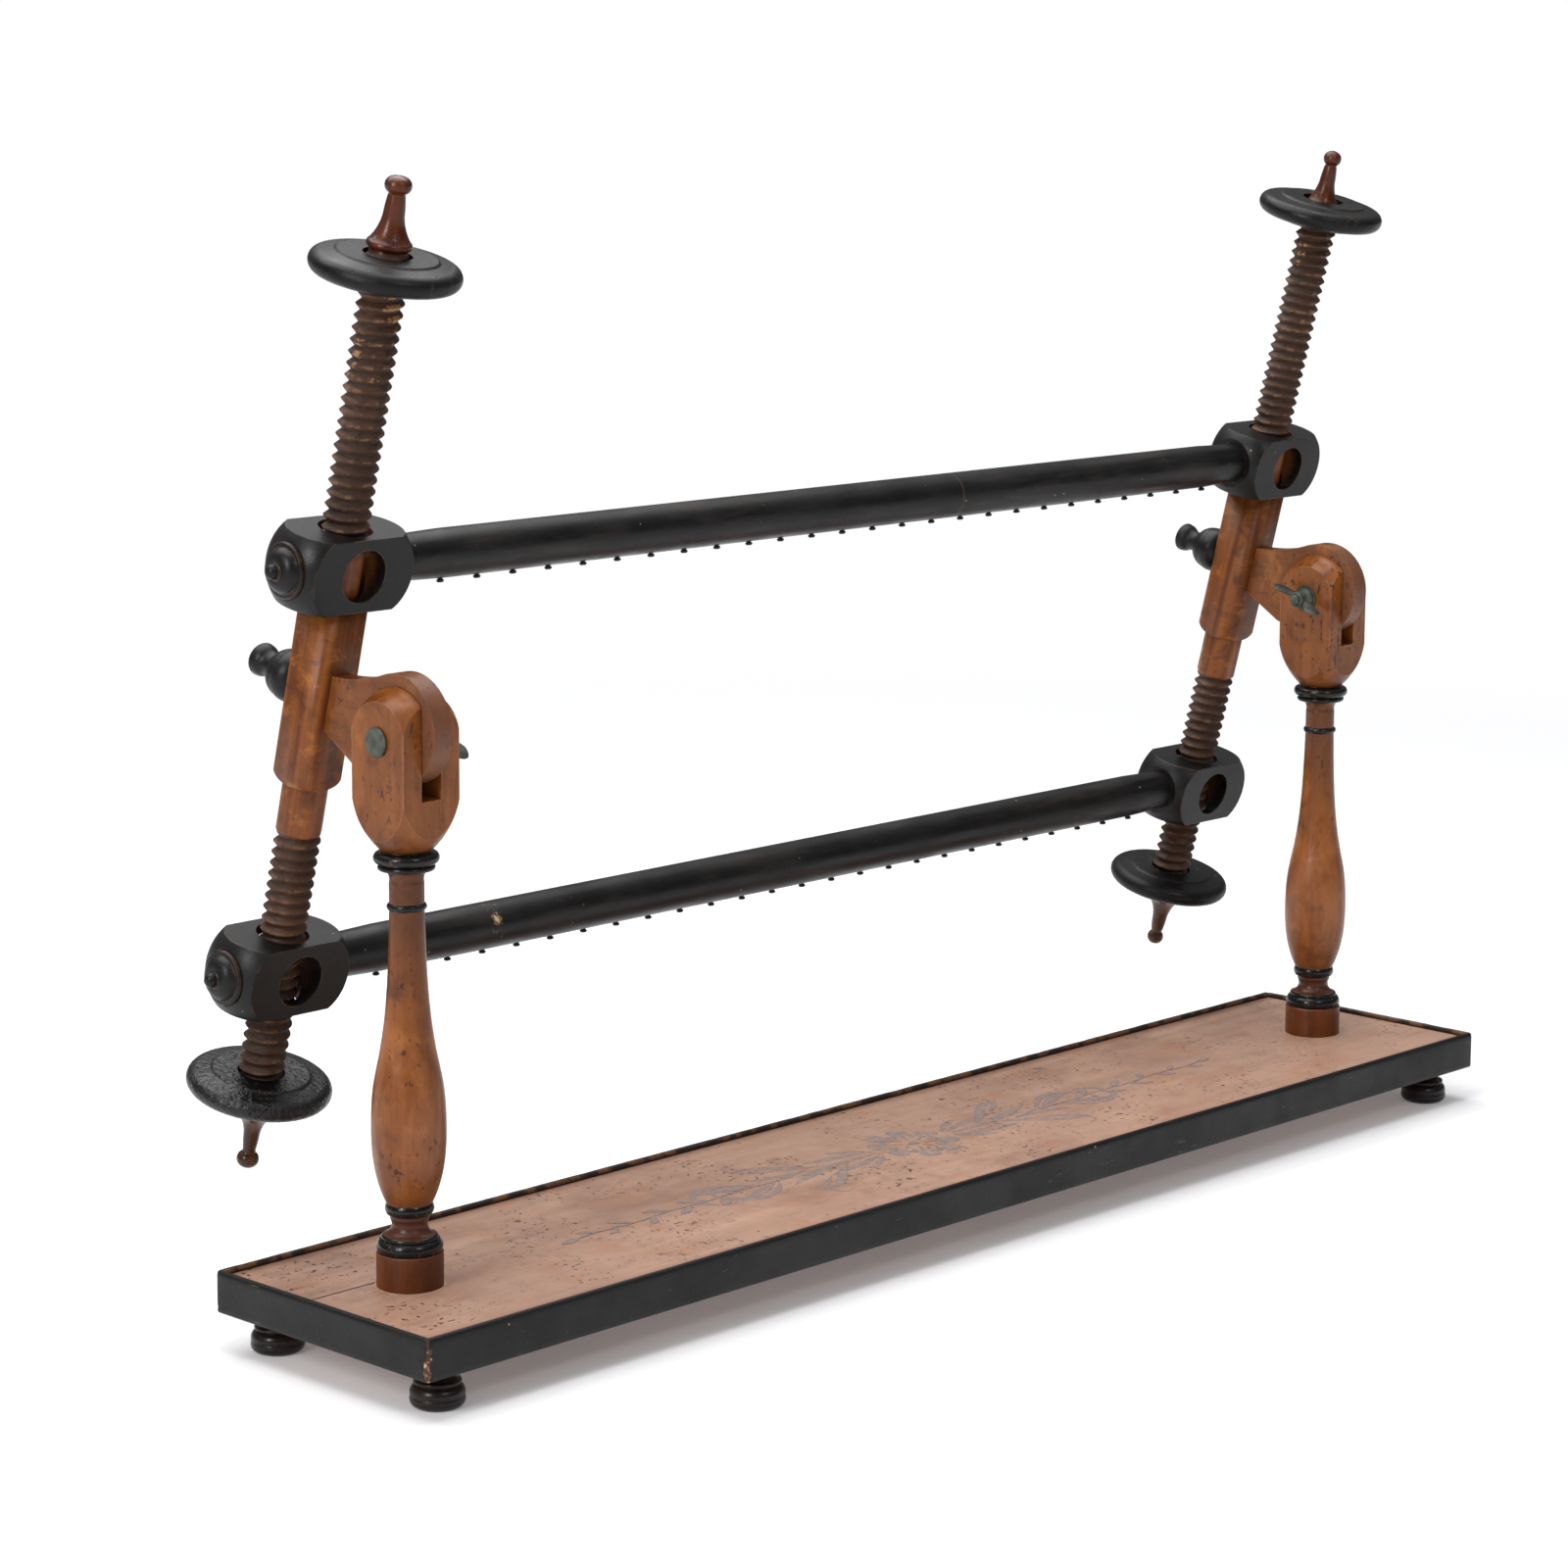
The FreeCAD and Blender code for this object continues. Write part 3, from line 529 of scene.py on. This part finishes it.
BOARD = dict(pale=rgb(176, 141, 121), dark=rgb(160, 125, 106), stain=rgb(142, 108, 92), grain=(0.06, 1, 1),
             gloss=0.32, coat=0.12, specks=0.5, golden=0.2)
materials = {
    "board_wood": wood("board_wood", finish=board_finish, **BOARD),
    "ornament_paint": wood("ornament_paint", finish=ornament_finish, **BOARD),
    "post_wood": wood("post_wood", rgb(140, 80, 31), rgb(112, 60, 20), rgb(72, 36, 14), bands=BANDS,
                      finish=post_finish, gloss=0.30, coat=0.08, rub=0.45, specks=0.42,
                      golden=0.3),
    "arm_wood": wood("arm_wood", rgb(130, 74, 31), rgb(104, 56, 21), rgb(66, 35, 16), grain=(1, 0.06, 0.7),
                     finish=arm_finish, gloss=0.33, coat=0.06, rub=0.3, specks=0.42),
    "plinth_wood": wood("plinth_wood", rgb(106, 52, 14), rgb(86, 40, 9), rgb(66, 30, 9), specks=0.1,
                        golden=0.1),
    "screw_wood": wood("screw_wood", rgb(83, 55, 38), rgb(60, 39, 26), rgb(44, 28, 19), place="stile",
                       gloss=0.50, coat=0.0, finish=screw_finish, golden=0.08),
    "ebonised_wood": ebonised("ebonised_wood"),
    "ebonised_block": ebonised("ebonised_block", finish=block_finish),
    "ebonised_bar": ebonised("ebonised_bar", wear=0.5, finish=bar_finish),
    "ebonised_edging": ebonised("ebonised_edging", wear=1.2, gloss=0.42, tint=rgb(19, 18, 18),
                                finish=edging_finish),
    "ebonised_disc": ebonised("ebonised_disc", wear=0.7, gloss=0.32, finish=disc_finish, pitted=0.12,
                              shine=0.2),
    "ebonised_crust": ebonised("ebonised_crust", wear=0.7, gloss=0.23, finish=disc_finish, pitted=1.1,
                               shine=0.36),
    "foot_wood": wood("foot_wood", rgb(22, 10, 7), rgb(15, 7, 5), rgb(11, 6, 5), specks=0.1, gloss=0.26,
                      golden=0.04),
    "patinated_metal": patinated("patinated_metal"),
    "nail_metal": nail_black("nail_metal"),
}
for row in frame["record"]["subparts"]:
    mesh = nodes[row["node"]].data
    mesh.materials.clear()
    finish = next((special for word, special in SPECIAL if word in row["node"]), row["material_slot"])
    mesh.materials.append(materials[finish])


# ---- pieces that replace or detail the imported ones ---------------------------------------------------
def add_piece(name, mesh, body, slot, replaced=(), finish=None, sharp_deg=35):
    """A new piece on a body, with its slot's finish or another. replaced are the nodes it stands for."""
    made = bpy.data.objects.new(name, mesh)
    bpy.context.scene.collection.objects.link(made)
    mesh.materials.clear()
    mesh.materials.append(materials[finish or slot])
    mesh.shade_smooth()
    mesh.set_sharp_from_angle(angle=math.radians(sharp_deg))
    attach(made, body)
    if replaced:
        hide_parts(*replaced)
    return made


def stile_matrix(side):
    """From stile coordinates (x, back, up the stile) to the frame's."""
    lean = Matrix.Rotation(math.atan2(-along.y, along.z), 4, "X")
    return Matrix.Translation((side * post_x, stile_datum.y, stile_datum.z)) @ lean


def cut_copy(source, to_stile, low, high):
    """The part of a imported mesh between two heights, closed at both cuts, in stile coordinates."""
    bm = bmesh.new()
    bm.from_mesh(source)
    bmesh.ops.transform(bm, matrix=to_stile, verts=bm.verts)
    bmesh.ops.remove_doubles(bm, verts=bm.verts, dist=WELD)
    for height, upwards in ((low, -1), (high, 1)):
        if height is None:
            continue
        whole = bm.verts[:] + bm.edges[:] + bm.faces[:]
        cut = bmesh.ops.bisect_plane(bm, geom=whole, plane_co=(0, 0, height), plane_no=(0, 0, upwards),
                                     clear_outer=True)
        rim = [item for item in cut["geom_cut"] if isinstance(item, bmesh.types.BMEdge)]
        bmesh.ops.holes_fill(bm, edges=rim, sides=0)
    return bm


def add_screw(bm, low, high, rng):
    """A right-handed V thread between two heights, as one closed solid, on rows that follow the thread."""
    turns = math.ceil((high - low) / PITCH) + 3
    grid = []
    for row in range(turns * len(THREAD_SHAPE)):
        part, share = THREAD_SHAPE[row % len(THREAD_SHAPE)]
        ring = []
        for column in range(SCREW_SIDES):
            climb = row // len(THREAD_SHAPE) + part + column / SCREW_SIDES - 1
            height = min(max(low + PITCH * climb, low), high)
            fade = min(1.0, (height - low) / (0.8 * PITCH), (high - height) / (0.8 * PITCH))
            radius = ROOT_R + (CREST_R - ROOT_R) * share * max(fade, 0.0)
            if share > 0.9 and 0 < fade:
                radius -= abs(rng.gauss(0, 0.07)) * MM
            turn = math.tau * column / SCREW_SIDES
            ring.append(bm.verts.new((radius * math.cos(turn), radius * math.sin(turn), height)))
        grid.append(ring)
    step = len(THREAD_SHAPE)
    for row in range(len(grid) - 1):
        for column in range(SCREW_SIDES):
            if column < SCREW_SIDES - 1:
                corners = (grid[row][column], grid[row][column + 1],
                           grid[row + 1][column + 1], grid[row + 1][column])
            elif row + step + 1 < len(grid):
                corners = (grid[row][column], grid[row + step][0],
                           grid[row + step + 1][0], grid[row + 1][column])
            else:
                continue
            bm.faces.new(corners)
    bmesh.ops.remove_doubles(bm, verts=[v for ring in grid for v in ring], dist=WELD)
    loose = [v for v in bm.verts if not v.link_faces]
    bmesh.ops.delete(bm, geom=loose, context="VERTS")
    rim = [edge for edge in bm.edges if edge.is_boundary]
    bmesh.ops.holes_fill(bm, edges=rim, sides=0)


def add_neck(bm, low, high):
    """The neck beside the square middle: turned from an eight-sided blank, so faintly faceted."""
    facet = math.pi / 4
    rows = [(low, NECK_R - 1.2 * MM), (low + 0.9 * MM, NECK_R - 0.2 * MM), (low + 1.6 * MM, NECK_R),
            (high - 1.6 * MM, NECK_R), (high - 0.9 * MM, NECK_R - 0.2 * MM), (high, NECK_R - 1.2 * MM)]
    rings = []
    for height, radius in rows:
        ring = []
        for column in range(SCREW_SIDES):
            turn = math.tau * column / SCREW_SIDES
            off = (turn + facet / 2) % facet - facet / 2
            reach = radius * (1.03 - 0.055 * math.cos(off * 4) ** 4)
            ring.append(bm.verts.new((reach * math.cos(turn), reach * math.sin(turn), height)))
        rings.append(ring)
    for lower, upper in zip(rings, rings[1:]):
        for column in range(SCREW_SIDES):
            beside = (column + 1) % SCREW_SIDES
            bm.faces.new((lower[column], lower[beside], upper[beside], upper[column]))
    bm.faces.new(rings[0][::-1])
    bm.faces.new(rings[-1])


def join(bm, part):
    """Moves everything in part to bm."""
    mesh = bpy.data.meshes.new("part")
    part.to_mesh(mesh)
    part.free()
    bm.from_mesh(mesh)
    bpy.data.meshes.remove(mesh)


def stile_piece(name, side, seed):
    """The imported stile's square middle and finials, with real threads and faceted necks between them."""
    rng = random.Random(seed)
    place = stile_matrix(side)
    bm = bmesh.new()
    for low, high in ((None, LOWER_END), (SQUARE_LOW - 0.4 * MM, SQUARE_HIGH + 0.4 * MM), (UPPER_END, None)):
        join(bm, cut_copy(nodes[name + "_stile"].data, place.inverted(), low, high))
    inside = 3 * MM
    for low, high in ((LOWER_END - 0.5 * MM, NECK_LOW + inside), (NECK_HIGH - inside, UPPER_END + 0.5 * MM)):
        part = bmesh.new()
        add_screw(part, low, high, rng)
        join(bm, part)
    add_neck(bm, NECK_LOW, SQUARE_LOW + inside)
    add_neck(bm, SQUARE_HIGH - inside, NECK_HIGH)
    bmesh.ops.transform(bm, matrix=place, verts=bm.verts)
    mesh = new_mesh(name + "_screw_stile", bm)
    add_piece(name + "_screw_stile", mesh, name + "_side", "screw_wood", [name + "_stile"], sharp_deg=40)


def new_mesh(name, bm):
    bmesh.ops.recalc_face_normals(bm, faces=bm.faces)
    mesh = bpy.data.meshes.new(name)
    bm.to_mesh(mesh)
    bm.free()
    return mesh


def skin(bm, rings, closed=False):
    """Walls between rings of points. The ends are capped, or joined to each other if closed."""
    made = [[bm.verts.new(point) for point in ring] for ring in rings]
    if closed:
        made.append(made[0])
    for lower, upper in zip(made, made[1:]):
        for index in range(len(lower)):
            beside = (index + 1) % len(lower)
            bm.faces.new((lower[index], lower[beside], upper[beside], upper[index]))
    if not closed:
        bm.faces.new(made[0][::-1])
        bm.faces.new(made[-1])


def edging_piece(name, ends, long_way):
    """A mitred edging strip between two corners of the base, with its outer edges rounded and knocked."""
    turn_a, turn_b = ends
    half_x = base_high.x
    low = base_low.z
    high = base_high.z
    thick = 3.6 * MM
    round_r = 3.0 * MM
    face = [(0.0, low + (0.7 + 2.0 * step) * MM) for step in range(10)]
    profile = [(0.7 * MM, low)] + face + [(0.35 * MM, high - 0.7 * MM), (1.1 * MM, high - 0.1 * MM),
                                          (1.9 * MM, high), (2.7 * MM, high - 0.15 * MM),
                                          (3.3 * MM, high - 0.7 * MM), (thick, high - 1.4 * MM), (thick, low)]
    stations = []
    for turn, other, first in ((turn_a, turn_b, True), (turn_b, turn_a, False)):
        sign_x, sign_y = CORNERS[turn]
        flat = CORNERS[other]
        outward = 90 if sign_x != flat[0] else 0
        bends = [45 + (outward - 45) * step / 5 for step in range(6)]
        stations.append([(sign_x, sign_y, bend) for bend in (bends if first else bends[::-1])])
    pieces = 120 if long_way else 24
    start, finish = stations[0][-1], stations[1][0]
    rings = []

    def place(station, depth, height):
        """A point of the profile at a station: the signs of its corner, and how far round the bend it is."""
        sign_x, sign_y, bend = station
        reach = max(round_r - depth, 0.0)
        inner = max(depth - round_r, 0.0)
        x = half_x - round_r - inner + reach * math.cos(math.radians(bend))
        y = base_half_y - round_r - inner + reach * math.sin(math.radians(bend))
        return Vector((sign_x * x, post_y + sign_y * y, height))

    for station in stations[0]:
        rings.append([place(station, depth, height) for depth, height in profile])
    for step in range(1, pieces):
        share = step / pieces
        rings.append([place(start, *point).lerp(place(finish, *point), share) for point in profile])
    for station in stations[1]:
        rings.append([place(station, depth, height) for depth, height in profile])
    for index, ring in enumerate(rings):
        near_end = min(index, len(rings) - 1 - index) < 6
        for point, (depth, height) in zip(ring, profile):
            if depth > 2.0 * MM or height <= low:
                continue
            bite = noise.fractal(point * 260, 0.8, 2.0, 3)
            limit = 0.75 if near_end else 0.22
            dent = max(0.0, bite - 0.05) * limit * MM
            inwards = Vector((-point.x if abs(point.x) > half_x - 4 * MM else 0,
                              post_y - point.y if abs(point.y - post_y) > base_half_y - 4 * MM else 0, 0))
            if inwards.length > 0:
                point += inwards.normalized() * dent
            if height > high - 1.0 * MM:
                point.z -= dent * 0.6
    bm = bmesh.new()
    skin(bm, rings)
    add_piece(name + "_strip", new_mesh(name + "_strip", bm), "stand", "ebonised_wood", [name],
              finish="ebonised_edging", sharp_deg=50)


def wing_nut_piece(name, side):
    """Cast wing nut: a waisted hub bored for the bolt, and two drop-shaped wings."""
    packed = nodes[name + "_wing_nut"].data
    centre = Vector((side * post_x, post_y, pivot.z))
    inwards = Vector((-side, 0, 0))
    offsets = [vertex.co - centre for vertex in packed.vertices]
    far = max(offsets, key=lambda offset: math.hypot(offset.y, offset.z))
    out = Vector((0, far.y, far.z)).normalized()
    across = inwards.cross(out)
    low = min(offset.dot(inwards) for offset in offsets)
    bm = bmesh.new()
    # the hub's outline as (radius, height), from its bore round its outside and back
    profile = [(3.3, 0.0), (6.3, 0.0), (6.7, 0.5), (6.6, 1.4), (5.7, 2.6), (4.9, 3.9), (4.7, 6.2), (4.6, 7.8),
               (4.2, 8.6), (3.5, 9.0), (3.3, 8.8)]
    rings = []
    for radius, rise in profile:
        level = centre + inwards * (low + rise * MM)
        turns = [math.tau * index / 40 for index in range(40)]
        rings.append([level + (out * math.cos(turn) + across * math.sin(turn)) * radius * MM
                      for turn in turns])
    skin(bm, rings, closed=True)
    steps = 26
    wing_from, wing_length = 3.7, 13.1
    rise_from, wing_rise, curl = 4.2, 5.8, 1.4
    round_from = 0.66
    for way in (1, -1):
        rings = []
        for step in range(steps + 1):
            share = step / steps
            reach = wing_from + wing_length * share
            rise = rise_from + wing_rise * share ** curl
            slope = math.atan2(wing_rise * curl * max(share, 0.02) ** 0.4, wing_length)
            drop = math.sqrt(max(1 - ((share - round_from) / 0.34) ** 2, 0.0)) if share > round_from else 1.0
            width = (2.6 + 2.4 * max(0.0, math.sin(math.pi * min(1.0, share * 0.76)) ** 2.0)) * drop + 0.05
            thick = (1.75 - 0.85 * share) * (0.35 + 0.65 * drop)
            middle = centre + out * (way * reach * MM) + inwards * (low + rise * MM)
            up = inwards * math.cos(slope) - out * (way * math.sin(slope))
            ring = []
            for index in range(20):
                turn = math.tau * index / 20
                offset = up * (width * MM * math.cos(turn)) + across * (thick * MM * math.sin(turn))
                ring.append(middle + offset)
            rings.append(ring)
        skin(bm, rings)
    mesh = new_mesh(name + "_cast_wing_nut", bm)
    add_piece(name + "_cast_wing_nut", mesh, name + "_wing_nut", "patinated_metal", [name + "_wing_nut"],
              sharp_deg=50)


LOWEST_PAINT = 0.03         # mm above the board
LAYER_STEP = 0.006          # mm from one stroke to the next
PAINT_SUNK = 0.05           # mm into the board


class Brush:
    """Flat painted strokes on the board, each a hair higher than the last so that they never coincide."""

    def __init__(self, way):
        self.bm = bmesh.new()
        self.way = way
        self.layer = 0

    def stroke(self, x, y, heading, length, bend_start, bend_end, width, fat=0.5):
        """A tapered stroke from (x, y) mm whose bend changes steadily; fat is where along it it is widest.

        Returns where it ends and its last heading in degrees.
        """
        steps = max(10, int(length / 2))
        angle = math.radians(heading)
        left = []
        right = []
        for step in range(steps + 1):
            share = step / steps
            if share <= fat:
                swell = math.sin(math.pi / 2 * share / fat) ** 0.8
            else:
                swell = math.cos(math.pi / 2 * (share - fat) / (1 - fat)) ** 0.8
            half = max(width * swell / 2, 0.22)
            normal = (-math.sin(angle), math.cos(angle))
            left.append((x + normal[0] * half, y + normal[1] * half))
            right.append((x - normal[0] * half, y - normal[1] * half))
            x += math.cos(angle) * length / steps
            y += math.sin(angle) * length / steps
            angle += math.radians(bend_start + (bend_end - bend_start) * share) / steps
        self.fill(left + right[::-1], strip=True)
        return x, y, math.degrees(angle)

    def petal(self, turn, near, far, width):
        """A round-ended petal pointing away from the garland's middle."""
        outline = []
        for index in range(22):
            a = math.tau * index / 22
            reach = (near + far) / 2 + (far - near) / 2 * math.cos(a)
            aside = width / 2 * math.sin(a) * (0.72 + 0.28 * math.cos(a))
            outline.append((reach * math.cos(turn) - aside * math.sin(turn),
                            reach * math.sin(turn) + aside * math.cos(turn)))
        self.fill(outline)

    def fill(self, outline, strip=False):
        """A thin slab from an outline in mm. A strip's outline goes up one side and back down the other."""
        top = board_top + (LOWEST_PAINT + LAYER_STEP * self.layer) * MM
        self.layer += 1
        rings = []
        for height in (board_top - PAINT_SUNK * MM, top):
            rings.append([self.bm.verts.new((self.way * x * MM, post_y + self.way * y * MM, height))
                          for x, y in outline])
        count = len(outline)
        for index in range(count):
            beside = (index + 1) % count
            self.bm.faces.new((rings[0][index], rings[0][beside], rings[1][beside], rings[1][index]))
        for ring in rings:
            if strip:
                for index in range(count // 2 - 1):
                    self.bm.faces.new((ring[index], ring[index + 1], ring[count - 2 - index],
                                       ring[count - 1 - index]))
            else:
                self.bm.faces.new(ring)


def spray(way):
    """One side of the painted garland: leaf burst, scrolls, and a leafy tapering sprig."""
    brush = Brush(way)
    # leaf burst beside the rosette
    for heading, length, bend, width in ((52, 28, -80, 4.4), (27, 50, -62, 5.6), (-3, 66, 22, 4.8),
                                         (-31, 46, 70, 5.6), (-56, 26, 86, 4.4)):
        brush.stroke(29, heading * 0.07, heading, length, bend, -bend * 0.7, width, fat=0.6)
    # scrolls either side of the stem: an outer curve, a curl and a leaf
    for turn, start in ((1, 56), (-1, 70)):
        brush.stroke(start, turn * 4, turn * 20, 52, turn * 110, turn * -190, 6.0, fat=0.45)
        brush.stroke(start + 24, turn * 14, turn * 34, 40, turn * -60, turn * 430, 3.4, fat=0.3)
        brush.stroke(start + 10, turn * 5, turn * -12, 40, turn * 60, turn * 10, 4.6)
    # large curls at the sprig's foot
    for turn, start in ((1, 106), (-1, 120)):
        brush.stroke(start, 0, turn * 52, 80, turn * -70, turn * -440, 4.2, fat=0.35)
        brush.stroke(start + 5, turn * 2, turn * 14, 34, turn * 50, turn * -110, 6.2)
    # the sprig's stem in twelve lengths, with a leaf at each after the fourth, on alternate sides
    x, y, heading = 92, -2.0, 8.0
    side = 1
    for part in range(12):
        shrink = 1 - part * 0.045
        if part > 3:
            brush.stroke(x, y, heading + side * 44, 22 * shrink, side * -10, side * -46, 7.0 * shrink,
                         fat=0.6)
        bend = -6 if part % 4 < 2 else 6
        x, y, heading = brush.stroke(x, y, heading, 13, bend, bend, 2.2 * shrink + 0.4)
        x -= 0.9
        side = -side
    brush.stroke(x, y, heading, 14, 0, 12, 5.0, fat=0.5)
    return new_mesh("spray", brush.bm)


def rosette():
    """The middle of the garland: eight petals, rays between them and a dot."""
    brush = Brush(1)
    for index in range(8):
        turn = math.tau * (index + 0.5) / 8
        brush.petal(turn, 13.0, 27.0, 16.0)
        brush.petal(turn + math.pi / 8, 12.0, 18.5, 6.5)
        brush.stroke(6.5 * math.cos(turn), 6.5 * math.sin(turn), math.degrees(turn), 7.0, 0, 0, 1.6, fat=0.3)
    brush.petal(0, -3.6, 3.6, 7.2)
    return new_mesh("rosette", brush.bm)


stile_piece("left", -1, seed=11)
stile_piece("right", 1, seed=12)
edging_piece("front_edging", ("left_front", "right_front"), True)
edging_piece("back_edging", ("right_back", "left_back"), True)
edging_piece("left_edging", ("left_back", "left_front"), False)
edging_piece("right_edging", ("right_front", "right_back"), False)
wing_nut_piece("left", -1)
wing_nut_piece("right", 1)
add_piece("painted_rosette", rosette(), "stand", "board_wood", finish="ornament_paint")
add_piece("painted_spray_right", spray(1), "stand", "board_wood", finish="ornament_paint")
add_piece("painted_spray_left", spray(-1), "stand", "board_wood", finish="ornament_paint")


# ---- floor, light and camera -----------------------------------------------------------------------
WHITE = (1.0, 1.0, 1.02, 1)
FLOOR_HALF = 60.0
FADE_FROM = 0.8             # distances from the middle between which the floor turns to plain white
FADE_TO = 2.1
NEAR_GLOW = 0.12            # how much of it is plain white beside the object
SKY_LOW = 0.13              # strength of the light from the horizon and from overhead
SKY_HIGH = 0.62
# (name, place, target, width, height, watts)
SOFTBOXES = [("overhead", (0.0, 0.5, 2.0), (0, 0.1, 0), 2.4, 2.0, 60),
             ("key", (-2.4, -0.3, 1.3), (0, 0, 0.25), 0.5, 1.1, 30),
             ("front", (-0.5, -2.2, 1.9), (0, 0, 0.25), 0.5, 0.5, 9)]
CAMERA_PLACE = (-1.62688, -1.49100, 0.63228)
CAMERA_TURN_DEG = -46.297   # about the vertical
CAMERA_DOWN_DEG = 8.912
CAMERA_ROLL_DEG = 0.297
CAMERA_LENS_MM = 94.656
CAMERA_SHIFT_Y = -0.0625


def floor():
    """White paper floor that fades to an even glow far from the object, so that no horizon shows."""
    mesh = bpy.data.meshes.new("floor")
    corners = [(x * FLOOR_HALF, y * FLOOR_HALF, 0) for x, y in ((-1, -1), (1, -1), (1, 1), (-1, 1))]
    mesh.from_pydata(corners, [], [(0, 1, 2, 3)])
    made = bpy.data.objects.new("floor", mesh)
    bpy.context.scene.collection.objects.link(made)
    t = Tree("floor_white")
    t.set(Base_Color=rgb(240, 240, 241), Roughness=0.7, Specular_IOR_Level=0.2)
    far = t.node("ShaderNodeVectorMath", operation="LENGTH")
    t.feed(far.inputs[0], t.place)
    glow = t.node("ShaderNodeEmission")
    t.feed(glow.inputs["Color"], WHITE)
    fade = t.node("ShaderNodeMixShader")
    t.feed(fade.inputs[0], t.ease(far.outputs["Value"], FADE_FROM, FADE_TO, NEAR_GLOW, 1.0))
    t.links.new(t.shader.outputs[0], fade.inputs[1])
    t.links.new(glow.outputs[0], fade.inputs[2])
    t.links.new(fade.outputs[0], t.nodes["Material Output"].inputs["Surface"])
    mesh.materials.append(t.material)


def studio():
    """A white backdrop that shows at full strength and lights the object more gently."""
    world = bpy.data.worlds.new("studio")
    bpy.context.scene.world = world
    world.use_nodes = True
    tree = world.node_tree
    soft = tree.nodes["Background"]
    soft.inputs["Color"].default_value = (0.96, 0.98, 1.0, 1)
    direction = tree.nodes.new("ShaderNodeTexCoord")
    towards = tree.nodes.new("ShaderNodeVectorMath")
    towards.operation = "DOT_PRODUCT"
    towards.inputs[1].default_value = (-0.10, 0.05, 1.0)
    strength = tree.nodes.new("ShaderNodeMapRange")
    strength.interpolation_type = "SMOOTHSTEP"
    for socket, number in zip(list(strength.inputs)[1:], (0.1, 0.95, SKY_LOW, SKY_HIGH)):
        socket.default_value = number
    tree.links.new(direction.outputs["Generated"], towards.inputs[0])
    tree.links.new(towards.outputs["Value"], strength.inputs[0])
    tree.links.new(strength.outputs[0], soft.inputs["Strength"])
    seen = tree.nodes.new("ShaderNodeBackground")
    seen.inputs["Color"].default_value = WHITE
    path = tree.nodes.new("ShaderNodeLightPath")
    choice = tree.nodes.new("ShaderNodeMixShader")
    tree.links.new(path.outputs["Is Camera Ray"], choice.inputs[0])
    tree.links.new(soft.outputs[0], choice.inputs[1])
    tree.links.new(seen.outputs[0], choice.inputs[2])
    tree.links.new(choice.outputs[0], tree.nodes["World Output"].inputs["Surface"])


def softbox(name, place, target, width, height, watts):
    """A rectangular lamp that faces its target."""
    light = bpy.data.lights.new(name, "AREA")
    light.shape = "RECTANGLE"
    light.size = width
    light.size_y = height
    light.energy = watts
    lamp = bpy.data.objects.new(name, light)
    lamp.location = place
    lamp.rotation_euler = (Vector(target) - Vector(place)).to_track_quat("-Z", "Y").to_euler()
    bpy.context.scene.collection.objects.link(lamp)


def camera():
    """The camera, from where the object is seen."""
    lens = bpy.data.cameras.new("camera")
    lens.sensor_width = 36.0
    lens.lens = CAMERA_LENS_MM
    lens.shift_y = CAMERA_SHIFT_Y
    lens.clip_start = 0.1
    lens.clip_end = 200
    seen = bpy.data.objects.new("camera", lens)
    bpy.context.scene.collection.objects.link(seen)
    turn, down, roll = (math.radians(angle) for angle in (CAMERA_TURN_DEG, CAMERA_DOWN_DEG, CAMERA_ROLL_DEG))
    behind = Vector((math.sin(turn) * math.cos(down), -math.cos(turn) * math.cos(down), math.sin(down)))
    right = Vector((math.cos(turn), math.sin(turn), 0))
    up = behind.cross(right)
    across = right * math.cos(roll) + up * math.sin(roll)
    upright = up * math.cos(roll) - right * math.sin(roll)
    axes = Matrix((across, upright, behind)).transposed()
    seen.matrix_world = Matrix.Translation(CAMERA_PLACE) @ axes.to_4x4()
    bpy.context.scene.camera = seen


floor()
studio()
for box in SOFTBOXES:
    softbox(*box)
camera()
bpy.context.scene.view_settings.view_transform = "Standard"
bpy.context.scene.view_settings.look = "None"
